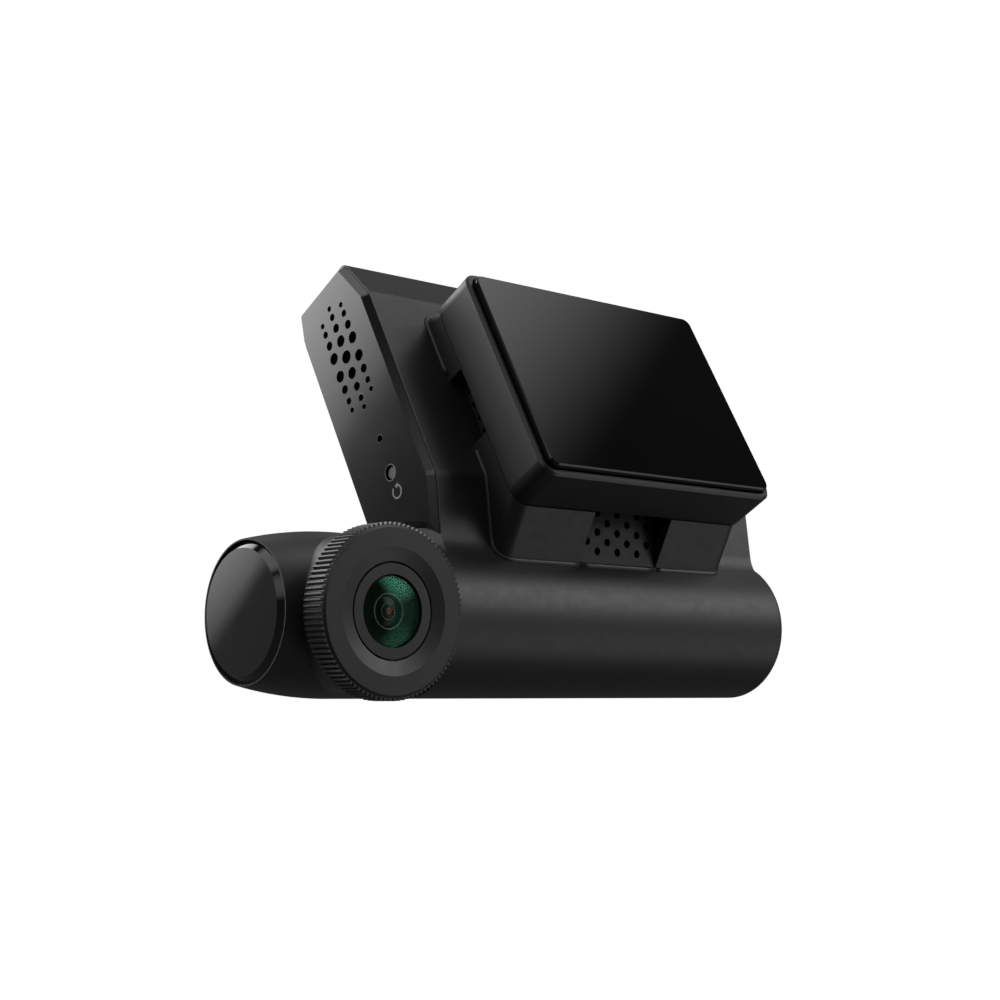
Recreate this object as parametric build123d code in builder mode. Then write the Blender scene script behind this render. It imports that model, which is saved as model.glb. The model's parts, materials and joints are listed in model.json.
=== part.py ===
"""Dash camera: a leaning slab housing on a horizontal barrel, with a rotating camera head at one end.

Frame: +X along the barrel to its closed end, -Y into the cabin, +Z up. The origin is the centre of the
windscreen pad's outer face. Slab coordinates are t, up along the slab, and n, out of its cabin face,
both measured from the barrel's axis.
"""

from build123d import *
import math
import os

os.makedirs("parts", exist_ok=True)

# ---- driving sizes, mm and degrees ----
LEAN = 29.35                # slab leans back from the vertical
WALL = 2.0                  # housing walls
FIT = 0.1                   # clearance round pieces that seat in each other
RUNNING = 0.05              # radial clearance of turning fits
SLIDING = 0.15              # clearance round sliding pieces

BARREL_R = 11.2
BARREL_END_FILLET = 1.2
BODY_HALF = 32.75           # half the slab's width, up to the side plates
BARREL_REACH = BODY_HALF + 1.7      # both ends of the barrel, from the slab's middle
ROOT_FILLET = 5.0           # concave blend of slab into barrel

BACK_N = -3.1               # slab's windscreen face
FACE_N = 14.0               # slab's cabin face
TOP_T = 56.3
TOP_CHAMFER_T = 8.0         # chamfer at the top, along the slab
TOP_CHAMFER_N = 2.9
BACK_CLIP_T = 5.0           # clipped corner at the back of the top
BACK_CLIP_N = 1.4
BEND_T = 15.6               # below this the cabin face turns towards the vertical
FACET_ANGLE = 22.25
BEND_R = 2.5                # rounding of the cabin face's two shallow corners
TOP_EDGE_R = 1.3
COVER_THICK = 2.0           # back cover
COVER_FOOT_T = BARREL_R + 0.4
CAVITY_T = BARREL_R + 2.4   # floor of the slab's cavity

PLATE_THICK = 1.0           # side plates
PLATE_BEVEL = 0.9
PLATE_INSET = 0.25
PLATE_FOOT_R = BARREL_R + 1.3       # side plate's lower edge, concentric with the barrel
PLATE_RIM = 1.2             # depth of the rim that locates it in the cavity
PLATE_RIM_WALL = 0.9

SPEAKER_T, SPEAKER_N = 42.21, 5.68
SPEAKER_ROW = 2.66          # between columns of holes
MIC_T, MIC_N, MIC_R = 26.46, 6.5, 0.6
RESET_T, RESET_N = 20.67, 6.18
RESET_HOLE_R, RESET_R = 1.15, 0.85
KEY_TRAVEL = 0.4
KEY_T = (24.0, 48.8)        # power and event keys on the other side plate
KEY_N = 5.4
KEY_R, KEY_PROUD = 2.6, 0.5

SCREEN_HALF = 24.2
SCREEN_T = (8.35, 44.75)
SCREEN_FRONT_N = FACE_N + 11.05
SCREEN_THICK = 7.65
SCREEN_CORNER_R = 2.5
SCREEN_BEVEL = 0.35
GLASS_MARGIN = 1.1          # between the glass's edge and the screen housing's
GLASS_CORNER_R = 1.5
GLASS_THICK = 1.6
GLASS_PROUD = 1.0
GLASS_GROOVE = 0.2          # gap round the glass
GLASS_BEVEL = 0.2
PANEL_THICK = 2.2
PANEL_MARGIN = 1.0          # between the panel and the glass's edge

PLINTH_HALF = SCREEN_HALF - 0.65
PLINTH_TOP_T = SCREEN_T[1] + 0.1
PLINTH_NECK_T = SCREEN_T[1] - 1.0   # its top where it meets the screen
PLINTH_WALL = 1.6
PLINTH_CORNER_R = 2.2
PLINTH_TOP_R = 1.2
RIM_ANGLE = 70.95           # plinth's lower rim lies on the barrel, this far round from t
VENT_HALF = 8.1
SIDE_VENT_T = (21.3, 32.8)
GRILLE_THICK = 1.2
GRILLE_HOLE_R = 0.6
SIDE_HOLE_R = 0.5
GRILLE_PITCH_X, GRILLE_PITCH_Z = 4.2, 1.43
GRILLE_FIRST = 2.2          # first row of holes above the rim
GRILLE_ROWS = 7

POST_X, POST_R = BODY_HALF - 9.25, 2.2
POST_T = (CAVITY_T + 4.0, TOP_T - 10.3)
SCREW_R, SCREW_HEAD_R, SCREW_HEAD_H = 1.0, 1.9, 1.2
SCREW_LENGTH = 6.0
SCREW_SOCKET_R, SCREW_SOCKET_DEPTH = 0.75, 0.8
BOARD_N, BOARD_THICK = 1.6, 1.2
BOARD_X = (4.15 - BODY_HALF, BODY_HALF - 2.15)
BOARD_MARGIN_T = 0.5
HEAD_RIBBON_WAY = 12.0      # opening for the head's ribbon cable
FLEX_SLOT, FLEX_SLOT_GAP = 1.4, 2.0
AIR_SLOTS, AIR_SLOT_PITCH = 5, 7.0
AIR_SLOT_WIDTH, AIR_SLOT_LENGTH = 3.0, 12.0

INLET_X = 12.0              # power inlet in the top
SOCKET_WIDTH, SOCKET_HEIGHT, SOCKET_LENGTH = 8.9, 3.3, 6.9
SOCKET_SKIN = 0.3
CARD_T = 36.5
CARD_WIDTH, CARD_THICK, CARD_LENGTH = 11.0, 1.0, 15.0
CARD_PROUD = 0.4            # card's edge stands proud of the side plate
CARD_CORNER = 1.2
CARD_HOLDER_WALL = 0.8

HEAD_GAP = 0.3
SEAM_BEVEL = 0.2
HEAD_LENGTH = 26.35
HEAD_TAPER_LENGTH = 13.1    # rounded stretch at the head's outer end
HEAD_TAPER_R = 55.0         # radius of that rounding
HEAD_BORE_R = BARREL_R - 2.2
CAP_R = BARREL_R - 1.95
CAP_CHAMFER = 0.9
CAP_PROUD = 0.5
CAP_SEAT = 0.8              # depth of the cap's seat in the head
HUB_R = BARREL_R - 3.75
HUB_WALL, HUB_LENGTH = 2.25, 10.2
SLEEVE_INSET, SLEEVE_LENGTH = 0.4, 8.1
CLIP_WIDTH, CLIP_DEPTH, CLIP_PROUD = 0.8, 0.6, 0.85
CLIP_MOUTH = 3.0
SEAL_INSET, SEAL_R = 4.0, 0.5
BATTERY_GAP = 2.2           # between the backup battery and the barrel's bore
BATTERY_PRESS = 0.02

LENS_INSET = 13.65          # lens axis, from the head's inner end
BOSS_R = BARREL_R - 0.8
BOSS_D = BARREL_R + 0.15
NOSE_R, NOSE_D = BOSS_R - 2.4, BOSS_D + 1.55
RING_R, RING_RIBS, RIB_HEIGHT = BOSS_R + 0.65, 96, 0.4
RING_FRONT_D = NOSE_D + 2.6
RING_BEVEL = 0.3
RING_DISH_R, RING_HOLE_R = 8.3, 6.4
RING_DISH_DEPTH = 0.4
RING_SEAT = 1.0             # depth of the ring's seat round the bezel's flange
RING_GAP = 0.1
BEZEL_R = RING_HOLE_R - 0.25
BEZEL_FLANGE_R, BEZEL_FLANGE = NOSE_R + 0.6, 0.8
BEZEL_FRONT_D = RING_FRONT_D - 0.4
BEZEL_STEP = 1.4            # depth of the front glass's seat
BEZEL_PRESS = 0.02
GLASS_R, GLASS_APEX_D = 4.65, RING_FRONT_D - 0.05
GLASS_EDGE = 1.15           # thickness of the front glass at its rim
LENS_TUBE_R = GLASS_R + 0.55
LENS_BORE_R = LENS_TUBE_R + 1.2
SENSOR_D = 0.9
SENSOR_BOARD, SENSOR_BOARD_THICK = 15.0, 1.0

RAIL_T = 33.0               # middle of the rail on the back cover
RAIL_HALF = 20.0
RAIL_NECK, RAIL_HEAD = 10.0, 14.0
RAIL_STEP = 1.2
BRACKET_HALF, BRACKET_T_HALF = 23.0, 17.0
BRACKET_PLATE = 2.0
BRACKET_CORNER_R = 3.0
JAW = 2.5                   # wall of the bracket beside the rail
PAD_INSET = 1.0
PAD_THICK = 1.2

# ---- frame ----
lean = math.radians(LEAN)
UP_SLAB = Vector(0, math.sin(lean), math.cos(lean))
OUT_SLAB = Vector(0, -math.cos(lean), math.sin(lean))
RAIL_HEAD_N = BACK_N - 2 * RAIL_STEP            # outer face of the rail's head
BRACKET_N = RAIL_HEAD_N - SLIDING               # inner face of the bracket's plate
PAD_N = BRACKET_N - BRACKET_PLATE - PAD_THICK   # outer face of the adhesive pad
BARREL_AXIS = -(UP_SLAB * RAIL_T) - OUT_SLAB * PAD_N
HEAD_X = -BARREL_REACH - HEAD_GAP
LENS_X = HEAD_X - LENS_INSET
RIM_T = BARREL_R * math.cos(math.radians(RIM_ANGLE))
RIM_N = BARREL_R * math.sin(math.radians(RIM_ANGLE))
LENS_CENTRE = BARREL_AXIS + Vector(LENS_X, 0, 0)
LENS_AXIS = Axis(LENS_CENTRE, (0, -1, 0))
TURN_AXIS = Axis(BARREL_AXIS, (1, 0, 0))
OUT_AXIS = Axis(BARREL_AXIS, OUT_SLAB)
TURN_PLANE = Plane(origin=BARREL_AXIS, x_dir=(1, 0, 0), z_dir=(0, -1, 0))      # local x is X, y a radius
LENS_PLANE = Plane(origin=LENS_CENTRE, x_dir=(1, 0, 0), z_dir=(0, 0, -1))      # local x a radius, y is d


def side_plane(x):
    """Across the slab at X = x: local x is t and local y is n. It extrudes towards +X."""
    return Plane(origin=BARREL_AXIS + Vector(x, 0, 0), x_dir=UP_SLAB, z_dir=(1, 0, 0))


def face_plane(n):
    """Parallel to the slab's face at height n: local x is X and local y is t. It extrudes outwards."""
    return Plane(origin=BARREL_AXIS + OUT_SLAB * n, x_dir=(1, 0, 0), z_dir=OUT_SLAB)


def end_plane(t):
    """Across the slab at t: local x is X and local y is -n. It extrudes up the slab."""
    return Plane(origin=BARREL_AXIS + UP_SLAB * t, x_dir=(1, 0, 0), z_dir=UP_SLAB)


def lens_plane(d):
    """Across the lens at distance d in front of the barrel's axis. It extrudes outwards."""
    return Plane(origin=LENS_CENTRE + Vector(0, -d, 0), x_dir=(1, 0, 0), z_dir=(0, -1, 0))


def upright(up, back):
    """The point in (t, n) that lies up and back, in true vertical and depth, from the plinth's rim."""
    t = RIM_T + up * math.cos(lean) + back * math.sin(lean)
    n = RIM_N + up * math.sin(lean) - back * math.cos(lean)
    return (t, n)


# ---- derived places ----
FACE_CHAMFER_T = TOP_T - TOP_CHAMFER_T
TOP_N = FACE_N - TOP_CHAMFER_N
FOOT_T = BARREL_R / 3
FOOT_N = FACE_N - (BEND_T - FOOT_T) * math.tan(math.radians(FACET_ANGLE))
COVER_N = BACK_N + COVER_THICK
SCREEN_BACK_N = SCREEN_FRONT_N - SCREEN_THICK
SCREEN_MID_T = (SCREEN_T[0] + SCREEN_T[1]) / 2
SCREEN_HEIGHT = SCREEN_T[1] - SCREEN_T[0]
GLASS_HALF = SCREEN_HALF - GLASS_MARGIN
GLASS_HEIGHT = SCREEN_HEIGHT - 2 * GLASS_MARGIN
GLASS_BACK_N = SCREEN_FRONT_N + GLASS_PROUD - GLASS_THICK
PANEL_HALF = GLASS_HALF - PANEL_MARGIN
PANEL_HEIGHT = GLASS_HEIGHT - 2 * PANEL_MARGIN
PANEL_N = GLASS_BACK_N - PANEL_THICK
BORE_R = BARREL_R - WALL
HEAD_END_X = HEAD_X - HEAD_LENGTH
TAPER_X = HEAD_END_X + HEAD_TAPER_LENGTH
TAPER_DROP = HEAD_TAPER_R - math.sqrt(HEAD_TAPER_R**2 - HEAD_TAPER_LENGTH**2)
BOARD_TOP_N = BOARD_N + BOARD_THICK
SOCKET_N = BOARD_TOP_N + SOCKET_HEIGHT / 2
CARD_N = BOARD_TOP_N + CARD_HOLDER_WALL + CARD_THICK / 2
FLEX_T, FLEX_HALF = SCREEN_T[1] - 8.5, 5.5
HUB_BORE_R = HUB_R - HUB_WALL
RING_TIP_R = RING_R + RIB_HEIGHT
POST_PLACES = [(x, t) for x in (-POST_X, POST_X) for t in POST_T]
SLAB_OUTLINE = [
    (0, BACK_N),
    (TOP_T - BACK_CLIP_T, BACK_N),
    (TOP_T, BACK_N + BACK_CLIP_N),
    (TOP_T, TOP_N),
    (FACE_CHAMFER_T, FACE_N),
    (BEND_T, FACE_N),
    (FOOT_T, FOOT_N),
]


def round_corners(section, inset):
    """Round the slab outline's corners on its cabin side, after it was moved in by inset."""
    corners = (((FACE_CHAMFER_T, FACE_N), BEND_R), ((BEND_T, FACE_N), BEND_R), ((TOP_T, TOP_N), TOP_EDGE_R))
    for (t, n), radius in corners:
        if radius > inset:
            fillet(section.vertices().sort_by_distance((t, n, 0))[0], radius=radius - inset)


def slab_section(x, inset):
    """The slab's outline, moved in by inset, at X = x."""
    with BuildSketch(side_plane(x)) as section:
        with BuildLine():
            Polyline(*SLAB_OUTLINE, close=True)
        make_face()
        if inset:
            offset(amount=-inset, kind=Kind.INTERSECTION)
        round_corners(section, inset)
    return section


def body_section(x, growth):
    """The outline of slab and barrel together, grown by a clearance, at X = x."""
    with BuildSketch(side_plane(x)) as section:
        with BuildLine():
            Polyline(*SLAB_OUTLINE, close=True)
        make_face()
        round_corners(section, 0)
        Circle(BARREL_R)
        root = section.vertices().sort_by_distance((BARREL_R * 0.48, BARREL_R * 0.87, 0))[0]
        fillet(root, radius=ROOT_FILLET)
        if growth:
            offset(amount=growth)
    return section


# ================ main housing: barrel, cabin face and top in one moulding ================
body_face = body_section(-BODY_HALF, 0)
cavity_face = slab_section(-BODY_HALF, WALL)
with BuildPart() as main_housing:
    extrude(body_face.sketch, amount=2 * BODY_HALF)
    with BuildSketch(side_plane(-BARREL_REACH)):
        Circle(BARREL_R)
    extrude(amount=2 * BARREL_REACH)
    closed_rim = main_housing.faces().sort_by(Axis.X)[-1].edges().filter_by(GeomType.CIRCLE)
    fillet(closed_rim, radius=BARREL_END_FILLET)
    # seat for the back cover
    with BuildSketch(side_plane(-BODY_HALF)):
        with Locations(((COVER_FOOT_T + TOP_T) / 2 + WALL, COVER_N + RUNNING)):
            Rectangle(TOP_T - COVER_FOOT_T + 2 * WALL, 4 * WALL, align=(Align.CENTER, Align.MAX))
    extrude(amount=2 * BODY_HALF, mode=Mode.SUBTRACT)
    # cavity behind the cabin face, open at the back and at both sides
    with BuildSketch(side_plane(-BODY_HALF)):
        add(cavity_face.sketch_local)
        with Locations((CAVITY_T, 0)):
            Rectangle(2 * CAVITY_T, 4 * FACE_N, align=(Align.MAX, Align.CENTER), mode=Mode.SUBTRACT)
    extrude(amount=2 * BODY_HALF, mode=Mode.SUBTRACT)
    # barrel's bore
    with BuildSketch(side_plane(-BARREL_REACH)):
        Circle(BORE_R)
    extrude(amount=2 * BARREL_REACH - WALL, mode=Mode.SUBTRACT)
    # screw posts inside the cabin face
    with BuildSketch(face_plane(COVER_N + RUNNING)):
        with Locations(POST_PLACES):
            Circle(POST_R)
    extrude(amount=FACE_N - WALL / 2 - COVER_N)
    with BuildSketch(face_plane(COVER_N)):
        with Locations(POST_PLACES):
            Circle(SCREW_R + FIT / 2)
    extrude(amount=SCREW_LENGTH, mode=Mode.SUBTRACT)
    # way for the head's ribbon cable from the barrel up into the slab
    with BuildSketch(end_plane(BORE_R - WALL / 2)):
        with Locations((-POST_X / 2, -BOARD_TOP_N)):
            Rectangle(HEAD_RIBBON_WAY, 3)
    extrude(amount=CAVITY_T - BORE_R + WALL, mode=Mode.SUBTRACT)
    # ribbon slot to the screen, air slots to the plinth, and the power inlet in the top
    with BuildSketch(face_plane(FACE_N - 2 * WALL)):
        with Locations((0, FLEX_T)):
            Rectangle(2 * FLEX_HALF + FLEX_SLOT_GAP, FLEX_SLOT)
        with GridLocations(AIR_SLOT_PITCH, 1, AIR_SLOTS, 1):
            with Locations((0, (BEND_T + RAIL_T) / 2)):
                Rectangle(AIR_SLOT_WIDTH, AIR_SLOT_LENGTH)
    extrude(amount=3 * WALL, mode=Mode.SUBTRACT)
    with BuildSketch(end_plane(TOP_T - 2 * WALL)):
        with Locations((INLET_X, -SOCKET_N)):
            RectangleRounded(SOCKET_WIDTH + 4 * FIT, SOCKET_HEIGHT + 4 * FIT, SOCKET_HEIGHT / 2)
    extrude(amount=3 * WALL, mode=Mode.SUBTRACT)
main_housing.part.label = "main_housing"
export_step(main_housing.part, "parts/main_housing.step")

# ================ back cover, with the T-shaped rail for the windscreen bracket ================
cover_face = slab_section(-BODY_HALF, 0)
with BuildPart() as back_cover:
    with BuildSketch(side_plane(-BODY_HALF)):
        add(cover_face.sketch_local)
        with Locations((COVER_FOOT_T, 0)):
            Rectangle(2 * COVER_FOOT_T, 4 * FACE_N, align=(Align.MAX, Align.CENTER), mode=Mode.SUBTRACT)
        with Locations((TOP_T / 2, COVER_N)):
            Rectangle(2 * TOP_T, 4 * FACE_N, align=(Align.CENTER, Align.MIN), mode=Mode.SUBTRACT)
    extrude(amount=2 * BODY_HALF)
    with BuildSketch(face_plane(BACK_N)):
        with Locations((0, RAIL_T)):
            Rectangle(2 * RAIL_HALF, RAIL_NECK)
    extrude(amount=-2 * RAIL_STEP)
    with BuildSketch(face_plane(BACK_N - RAIL_STEP)):
        with Locations((0, RAIL_T)):
            Rectangle(2 * RAIL_HALF, RAIL_HEAD)
    extrude(amount=-RAIL_STEP)
    with Locations(face_plane(BACK_N)):
        with Locations([(x, t, 0) for x, t in POST_PLACES]):
            Cylinder(SCREW_HEAD_R + FIT, 2 * SCREW_HEAD_H, mode=Mode.SUBTRACT)
            Cylinder(SCREW_R + FIT, 4 * COVER_THICK, mode=Mode.SUBTRACT)
back_cover.part.label = "back_cover"
export_step(back_cover.part, "parts/back_cover.step")

with BuildPart() as cover_screws:
    with BuildSketch(face_plane(BACK_N + 2 * FIT)):
        with Locations(POST_PLACES):
            Circle(SCREW_HEAD_R)
    extrude(amount=SCREW_HEAD_H - 2 * FIT)
    with BuildSketch(face_plane(BACK_N)):
        with Locations(POST_PLACES):
            RegularPolygon(SCREW_SOCKET_R, 6)
    extrude(amount=SCREW_SOCKET_DEPTH, mode=Mode.SUBTRACT)
    with BuildSketch(face_plane(BACK_N + SCREW_HEAD_H)):
        with Locations(POST_PLACES):
            Circle(SCREW_R)
    extrude(amount=SCREW_LENGTH)
cover_screws.part.label = "cover_screws"
export_step(cover_screws.part, "parts/cover_screws.step")


# ================ side plates ================
def plate_face(x, inset):
    """A side plate's outline: the slab's own, ending on an arc round the barrel."""
    outline = slab_section(x, inset)
    with BuildSketch(side_plane(x)) as section:
        add(outline.sketch_local)
        Circle(PLATE_FOOT_R + inset, mode=Mode.SUBTRACT)
    return section


SPEAKER_HOLES = [(0, 0, 1.03)]
for side in (-1, 1):
    SPEAKER_HOLES += [(side * t, 0, r) for t, r in ((3.02, 0.92), (5.53, 0.7), (7.64, 0.55), (9.28, 0.43))]
    for row in (-1, 1):
        SPEAKER_HOLES += [
            (side * t, row * SPEAKER_ROW, r)
            for t, r in ((1.68, 0.92), (4.16, 0.7), (6.3, 0.55), (7.97, 0.43))
        ]

left_face = plate_face(-BODY_HALF, PLATE_INSET)
left_rim_outer = plate_face(-BODY_HALF, WALL + FIT)
left_rim_inner = plate_face(-BODY_HALF, WALL + FIT + PLATE_RIM_WALL)
with BuildPart() as left_side_plate:
    extrude(left_face.sketch, amount=-PLATE_THICK)
    chamfer(left_side_plate.faces().sort_by(Axis.X)[0].edges(), length=PLATE_BEVEL)
    with BuildSketch(side_plane(-BODY_HALF)):
        add(left_rim_outer.sketch_local)
        add(left_rim_inner.sketch_local, mode=Mode.SUBTRACT)
        Circle(CAVITY_T + 2 * WALL, mode=Mode.SUBTRACT)
    extrude(amount=PLATE_RIM)
    with BuildSketch(side_plane(-BODY_HALF - 2 * PLATE_THICK)):
        for t, n, r in SPEAKER_HOLES:
            with Locations((SPEAKER_T + t, SPEAKER_N + n)):
                Circle(r)
        with Locations((MIC_T, MIC_N)):
            Circle(MIC_R)
        with Locations((RESET_T, RESET_N)):
            Circle(RESET_HOLE_R)
    extrude(amount=3 * PLATE_THICK, mode=Mode.SUBTRACT)
left_side_plate.part.label = "left_side_plate"
export_step(left_side_plate.part, "parts/left_side_plate.step")

right_face = plate_face(BODY_HALF, PLATE_INSET)
right_rim_outer = plate_face(BODY_HALF, WALL + FIT)
right_rim_inner = plate_face(BODY_HALF, WALL + FIT + PLATE_RIM_WALL)
with BuildPart() as right_side_plate:
    extrude(right_face.sketch, amount=PLATE_THICK)
    chamfer(right_side_plate.faces().sort_by(Axis.X)[-1].edges(), length=PLATE_BEVEL)
    with BuildSketch(side_plane(BODY_HALF)):
        add(right_rim_outer.sketch_local)
        add(right_rim_inner.sketch_local, mode=Mode.SUBTRACT)
        Circle(CAVITY_T + 2 * WALL, mode=Mode.SUBTRACT)
    extrude(amount=-PLATE_RIM)
    with BuildSketch(side_plane(BODY_HALF - PLATE_THICK)):
        with Locations([(t, KEY_N) for t in KEY_T]):
            Circle(KEY_R + SLIDING)
        with Locations((CARD_T, CARD_N)):
            Rectangle(CARD_WIDTH + 4 * SLIDING, CARD_THICK + 4 * SLIDING)
    extrude(amount=3 * PLATE_THICK, mode=Mode.SUBTRACT)
right_side_plate.part.label = "right_side_plate"
export_step(right_side_plate.part, "parts/right_side_plate.step")

# ================ plinth that carries the screen and lets air out ================
SIDE_GRILLE_X = PLINTH_HALF - PLINTH_WALL - GRILLE_THICK
plinth_clearance = body_section(-BODY_HALF, 0.02)
PLINTH_OUTLINE = [
    (PLINTH_TOP_T, FACE_N - WALL),
    (PLINTH_TOP_T, FACE_N),
    (PLINTH_NECK_T, SCREEN_BACK_N),
    (SCREEN_T[0], SCREEN_BACK_N),
    (RIM_T, RIM_N),
    (RIM_T - 0.3, RIM_N - WALL),
    (BEND_T - 2 * WALL, FACE_N - 2 * WALL - 1),
]
with BuildPart() as display_plinth:
    with BuildSketch(side_plane(-PLINTH_HALF)):
        with BuildLine():
            Polyline(*PLINTH_OUTLINE, close=True)
        make_face()
    extrude(amount=2 * PLINTH_HALF)
    extrude(plinth_clearance.sketch, amount=2 * BODY_HALF, mode=Mode.SUBTRACT)
    corners = display_plinth.edges().filter_by(GeomType.LINE).filter_by(
        lambda e: abs(abs(e.center().X) - PLINTH_HALF) < FIT
        and e.center().Z < BARREL_AXIS.Z + 2 * SCREEN_THICK
        and e.length > PLINTH_CORNER_R
        and abs(e.tangent_at(0.5).dot(UP_SLAB)) < 0.9
    )
    fillet(corners, radius=PLINTH_CORNER_R)
    top_corners = display_plinth.edges().filter_by(GeomType.LINE).filter_by(
        lambda e: abs(abs(e.center().X) - PLINTH_HALF) < FIT
        and e.center().Z > BARREL_AXIS.Z + SCREEN_MID_T
        and abs(e.tangent_at(0.5).dot(UP_SLAB)) < 0.9
    )
    fillet(top_corners, radius=PLINTH_TOP_R)
    with BuildSketch(side_plane(-PLINTH_HALF + PLINTH_WALL)):
        with BuildLine():
            Polyline(*PLINTH_OUTLINE, close=True)
        make_face()
        offset(amount=-PLINTH_WALL, kind=Kind.INTERSECTION)
    extrude(amount=2 * (PLINTH_HALF - PLINTH_WALL), mode=Mode.SUBTRACT)
    # window behind the screen
    with BuildSketch(face_plane(FACE_N)):
        with Locations((0, SCREEN_MID_T + 1)):
            Rectangle(2 * (PLINTH_HALF - 4 * PLINTH_WALL), SCREEN_HEIGHT - 1.5 * SCREEN_THICK)
    extrude(amount=2 * SCREEN_THICK, mode=Mode.SUBTRACT)
    # vent in the lower wall, which the upright grille stands in
    with BuildSketch(side_plane(-VENT_HALF)):
        with BuildLine():
            Polyline(
                upright(-1, -SCREEN_THICK),
                upright(-1, GRILLE_THICK + FIT),
                upright(2 * SCREEN_THICK, GRILLE_THICK + FIT),
                upright(2 * SCREEN_THICK, -SCREEN_THICK),
                close=True,
            )
        make_face()
    extrude(amount=2 * VENT_HALF, mode=Mode.SUBTRACT)
    # vents in both side walls
    with BuildSketch(face_plane(FACE_N - WALL)):
        with Locations([(x, sum(SIDE_VENT_T) / 2) for x in (-PLINTH_HALF, PLINTH_HALF)]):
            Rectangle(2 * (PLINTH_HALF - SIDE_GRILLE_X + GRILLE_THICK), SIDE_VENT_T[1] - SIDE_VENT_T[0])
    extrude(amount=SCREEN_THICK, mode=Mode.SUBTRACT)
display_plinth.part.label = "display_plinth"
export_step(display_plinth.part, "parts/display_plinth.step")

RIM_ORIGIN = BARREL_AXIS + UP_SLAB * RIM_T + OUT_SLAB * RIM_N
GRILLE_PLANE = Plane(origin=RIM_ORIGIN, x_dir=(1, 0, 0), z_dir=(0, -1, 0))
GRILLE_TOP_UP = (SCREEN_BACK_N - 4 * FIT - RIM_N) / math.sin(lean)
with BuildPart() as bottom_grille:
    with BuildSketch(side_plane(-VENT_HALF + FIT)):
        with BuildLine():
            Polyline(
                upright(-1, 0), upright(-1, GRILLE_THICK), upright(GRILLE_TOP_UP, GRILLE_THICK),
                upright(GRILLE_TOP_UP, 0), close=True,
            )
        make_face()
    extrude(amount=2 * (VENT_HALF - FIT))
    extrude(plinth_clearance.sketch, amount=2 * BODY_HALF, mode=Mode.SUBTRACT)
    with BuildSketch(GRILLE_PLANE):
        for row in range(GRILLE_ROWS):
            count = 4 if row % 2 else 3
            with Locations((0, GRILLE_FIRST + row * GRILLE_PITCH_Z)):
                with GridLocations(GRILLE_PITCH_X, 1, count, 1):
                    Circle(GRILLE_HOLE_R)
    extrude(amount=-2 * GRILLE_THICK, mode=Mode.SUBTRACT)
bottom_grille.part.label = "bottom_grille"
export_step(bottom_grille.part, "parts/bottom_grille.step")

for name, side in (("left_grille", -1), ("right_grille", 1)):
    with BuildPart() as side_grille:
        with BuildSketch(side_plane(side * SIDE_GRILLE_X)):
            with Locations((sum(SIDE_VENT_T) / 2, (FACE_N + SCREEN_BACK_N) / 2)):
                Rectangle(SIDE_VENT_T[1] - SIDE_VENT_T[0] - 2 * FIT, SCREEN_BACK_N - FACE_N - 2 * FIT)
                with GridLocations(2.4, 1.5, 4, 2):
                    Circle(SIDE_HOLE_R, mode=Mode.SUBTRACT)
        extrude(amount=GRILLE_THICK / 2 - FIT, both=True)
    side_grille.part.label = name
    export_step(side_grille.part, f"parts/{name}.step")

# ================ screen ================
with BuildPart() as display_housing:
    with BuildSketch(face_plane(SCREEN_BACK_N + FIT / 2)):
        with Locations((0, SCREEN_MID_T)):
            RectangleRounded(2 * SCREEN_HALF, SCREEN_HEIGHT, SCREEN_CORNER_R)
    extrude(amount=SCREEN_THICK - FIT / 2)
    screen_faces = display_housing.faces().filter_by(face_plane(0)).sort_by(OUT_AXIS)
    chamfer(screen_faces[-1].edges(), length=SCREEN_BEVEL)
    fillet(screen_faces[0].edges(), radius=SCREEN_BEVEL)
    # seat for the glass
    with BuildSketch(face_plane(GLASS_BACK_N)):
        with Locations((0, SCREEN_MID_T)):
            RectangleRounded(
                2 * (GLASS_HALF + GLASS_GROOVE),
                GLASS_HEIGHT + 2 * GLASS_GROOVE,
                GLASS_CORNER_R + GLASS_GROOVE,
            )
    extrude(amount=2 * GLASS_THICK, mode=Mode.SUBTRACT)
    # hollow for the panel, open at the back
    with BuildSketch(face_plane(SCREEN_BACK_N - 1)):
        with Locations((0, SCREEN_MID_T)):
            RectangleRounded(2 * (PANEL_HALF + 2 * FIT), PANEL_HEIGHT + 4 * FIT, PANEL_MARGIN / 2)
    extrude(amount=2 * SCREEN_THICK, mode=Mode.SUBTRACT)
display_housing.part.label = "display_housing"
export_step(display_housing.part, "parts/display_housing.step")

with BuildPart() as display_glass:
    with BuildSketch(face_plane(GLASS_BACK_N)):
        with Locations((0, SCREEN_MID_T)):
            RectangleRounded(2 * GLASS_HALF, GLASS_HEIGHT, GLASS_CORNER_R)
    extrude(amount=GLASS_THICK)
    chamfer(display_glass.faces().filter_by(face_plane(0)).sort_by(OUT_AXIS)[-1].edges(), length=GLASS_BEVEL)
display_glass.part.label = "display_glass"
export_step(display_glass.part, "parts/display_glass.step")

with BuildPart() as lcd_module:
    with BuildSketch(face_plane(PANEL_N)):
        with Locations((0, SCREEN_MID_T)):
            Rectangle(2 * PANEL_HALF, PANEL_HEIGHT)
    extrude(amount=PANEL_THICK)
lcd_module.part.label = "lcd_module"
export_step(lcd_module.part, "parts/lcd_module.step")

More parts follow.
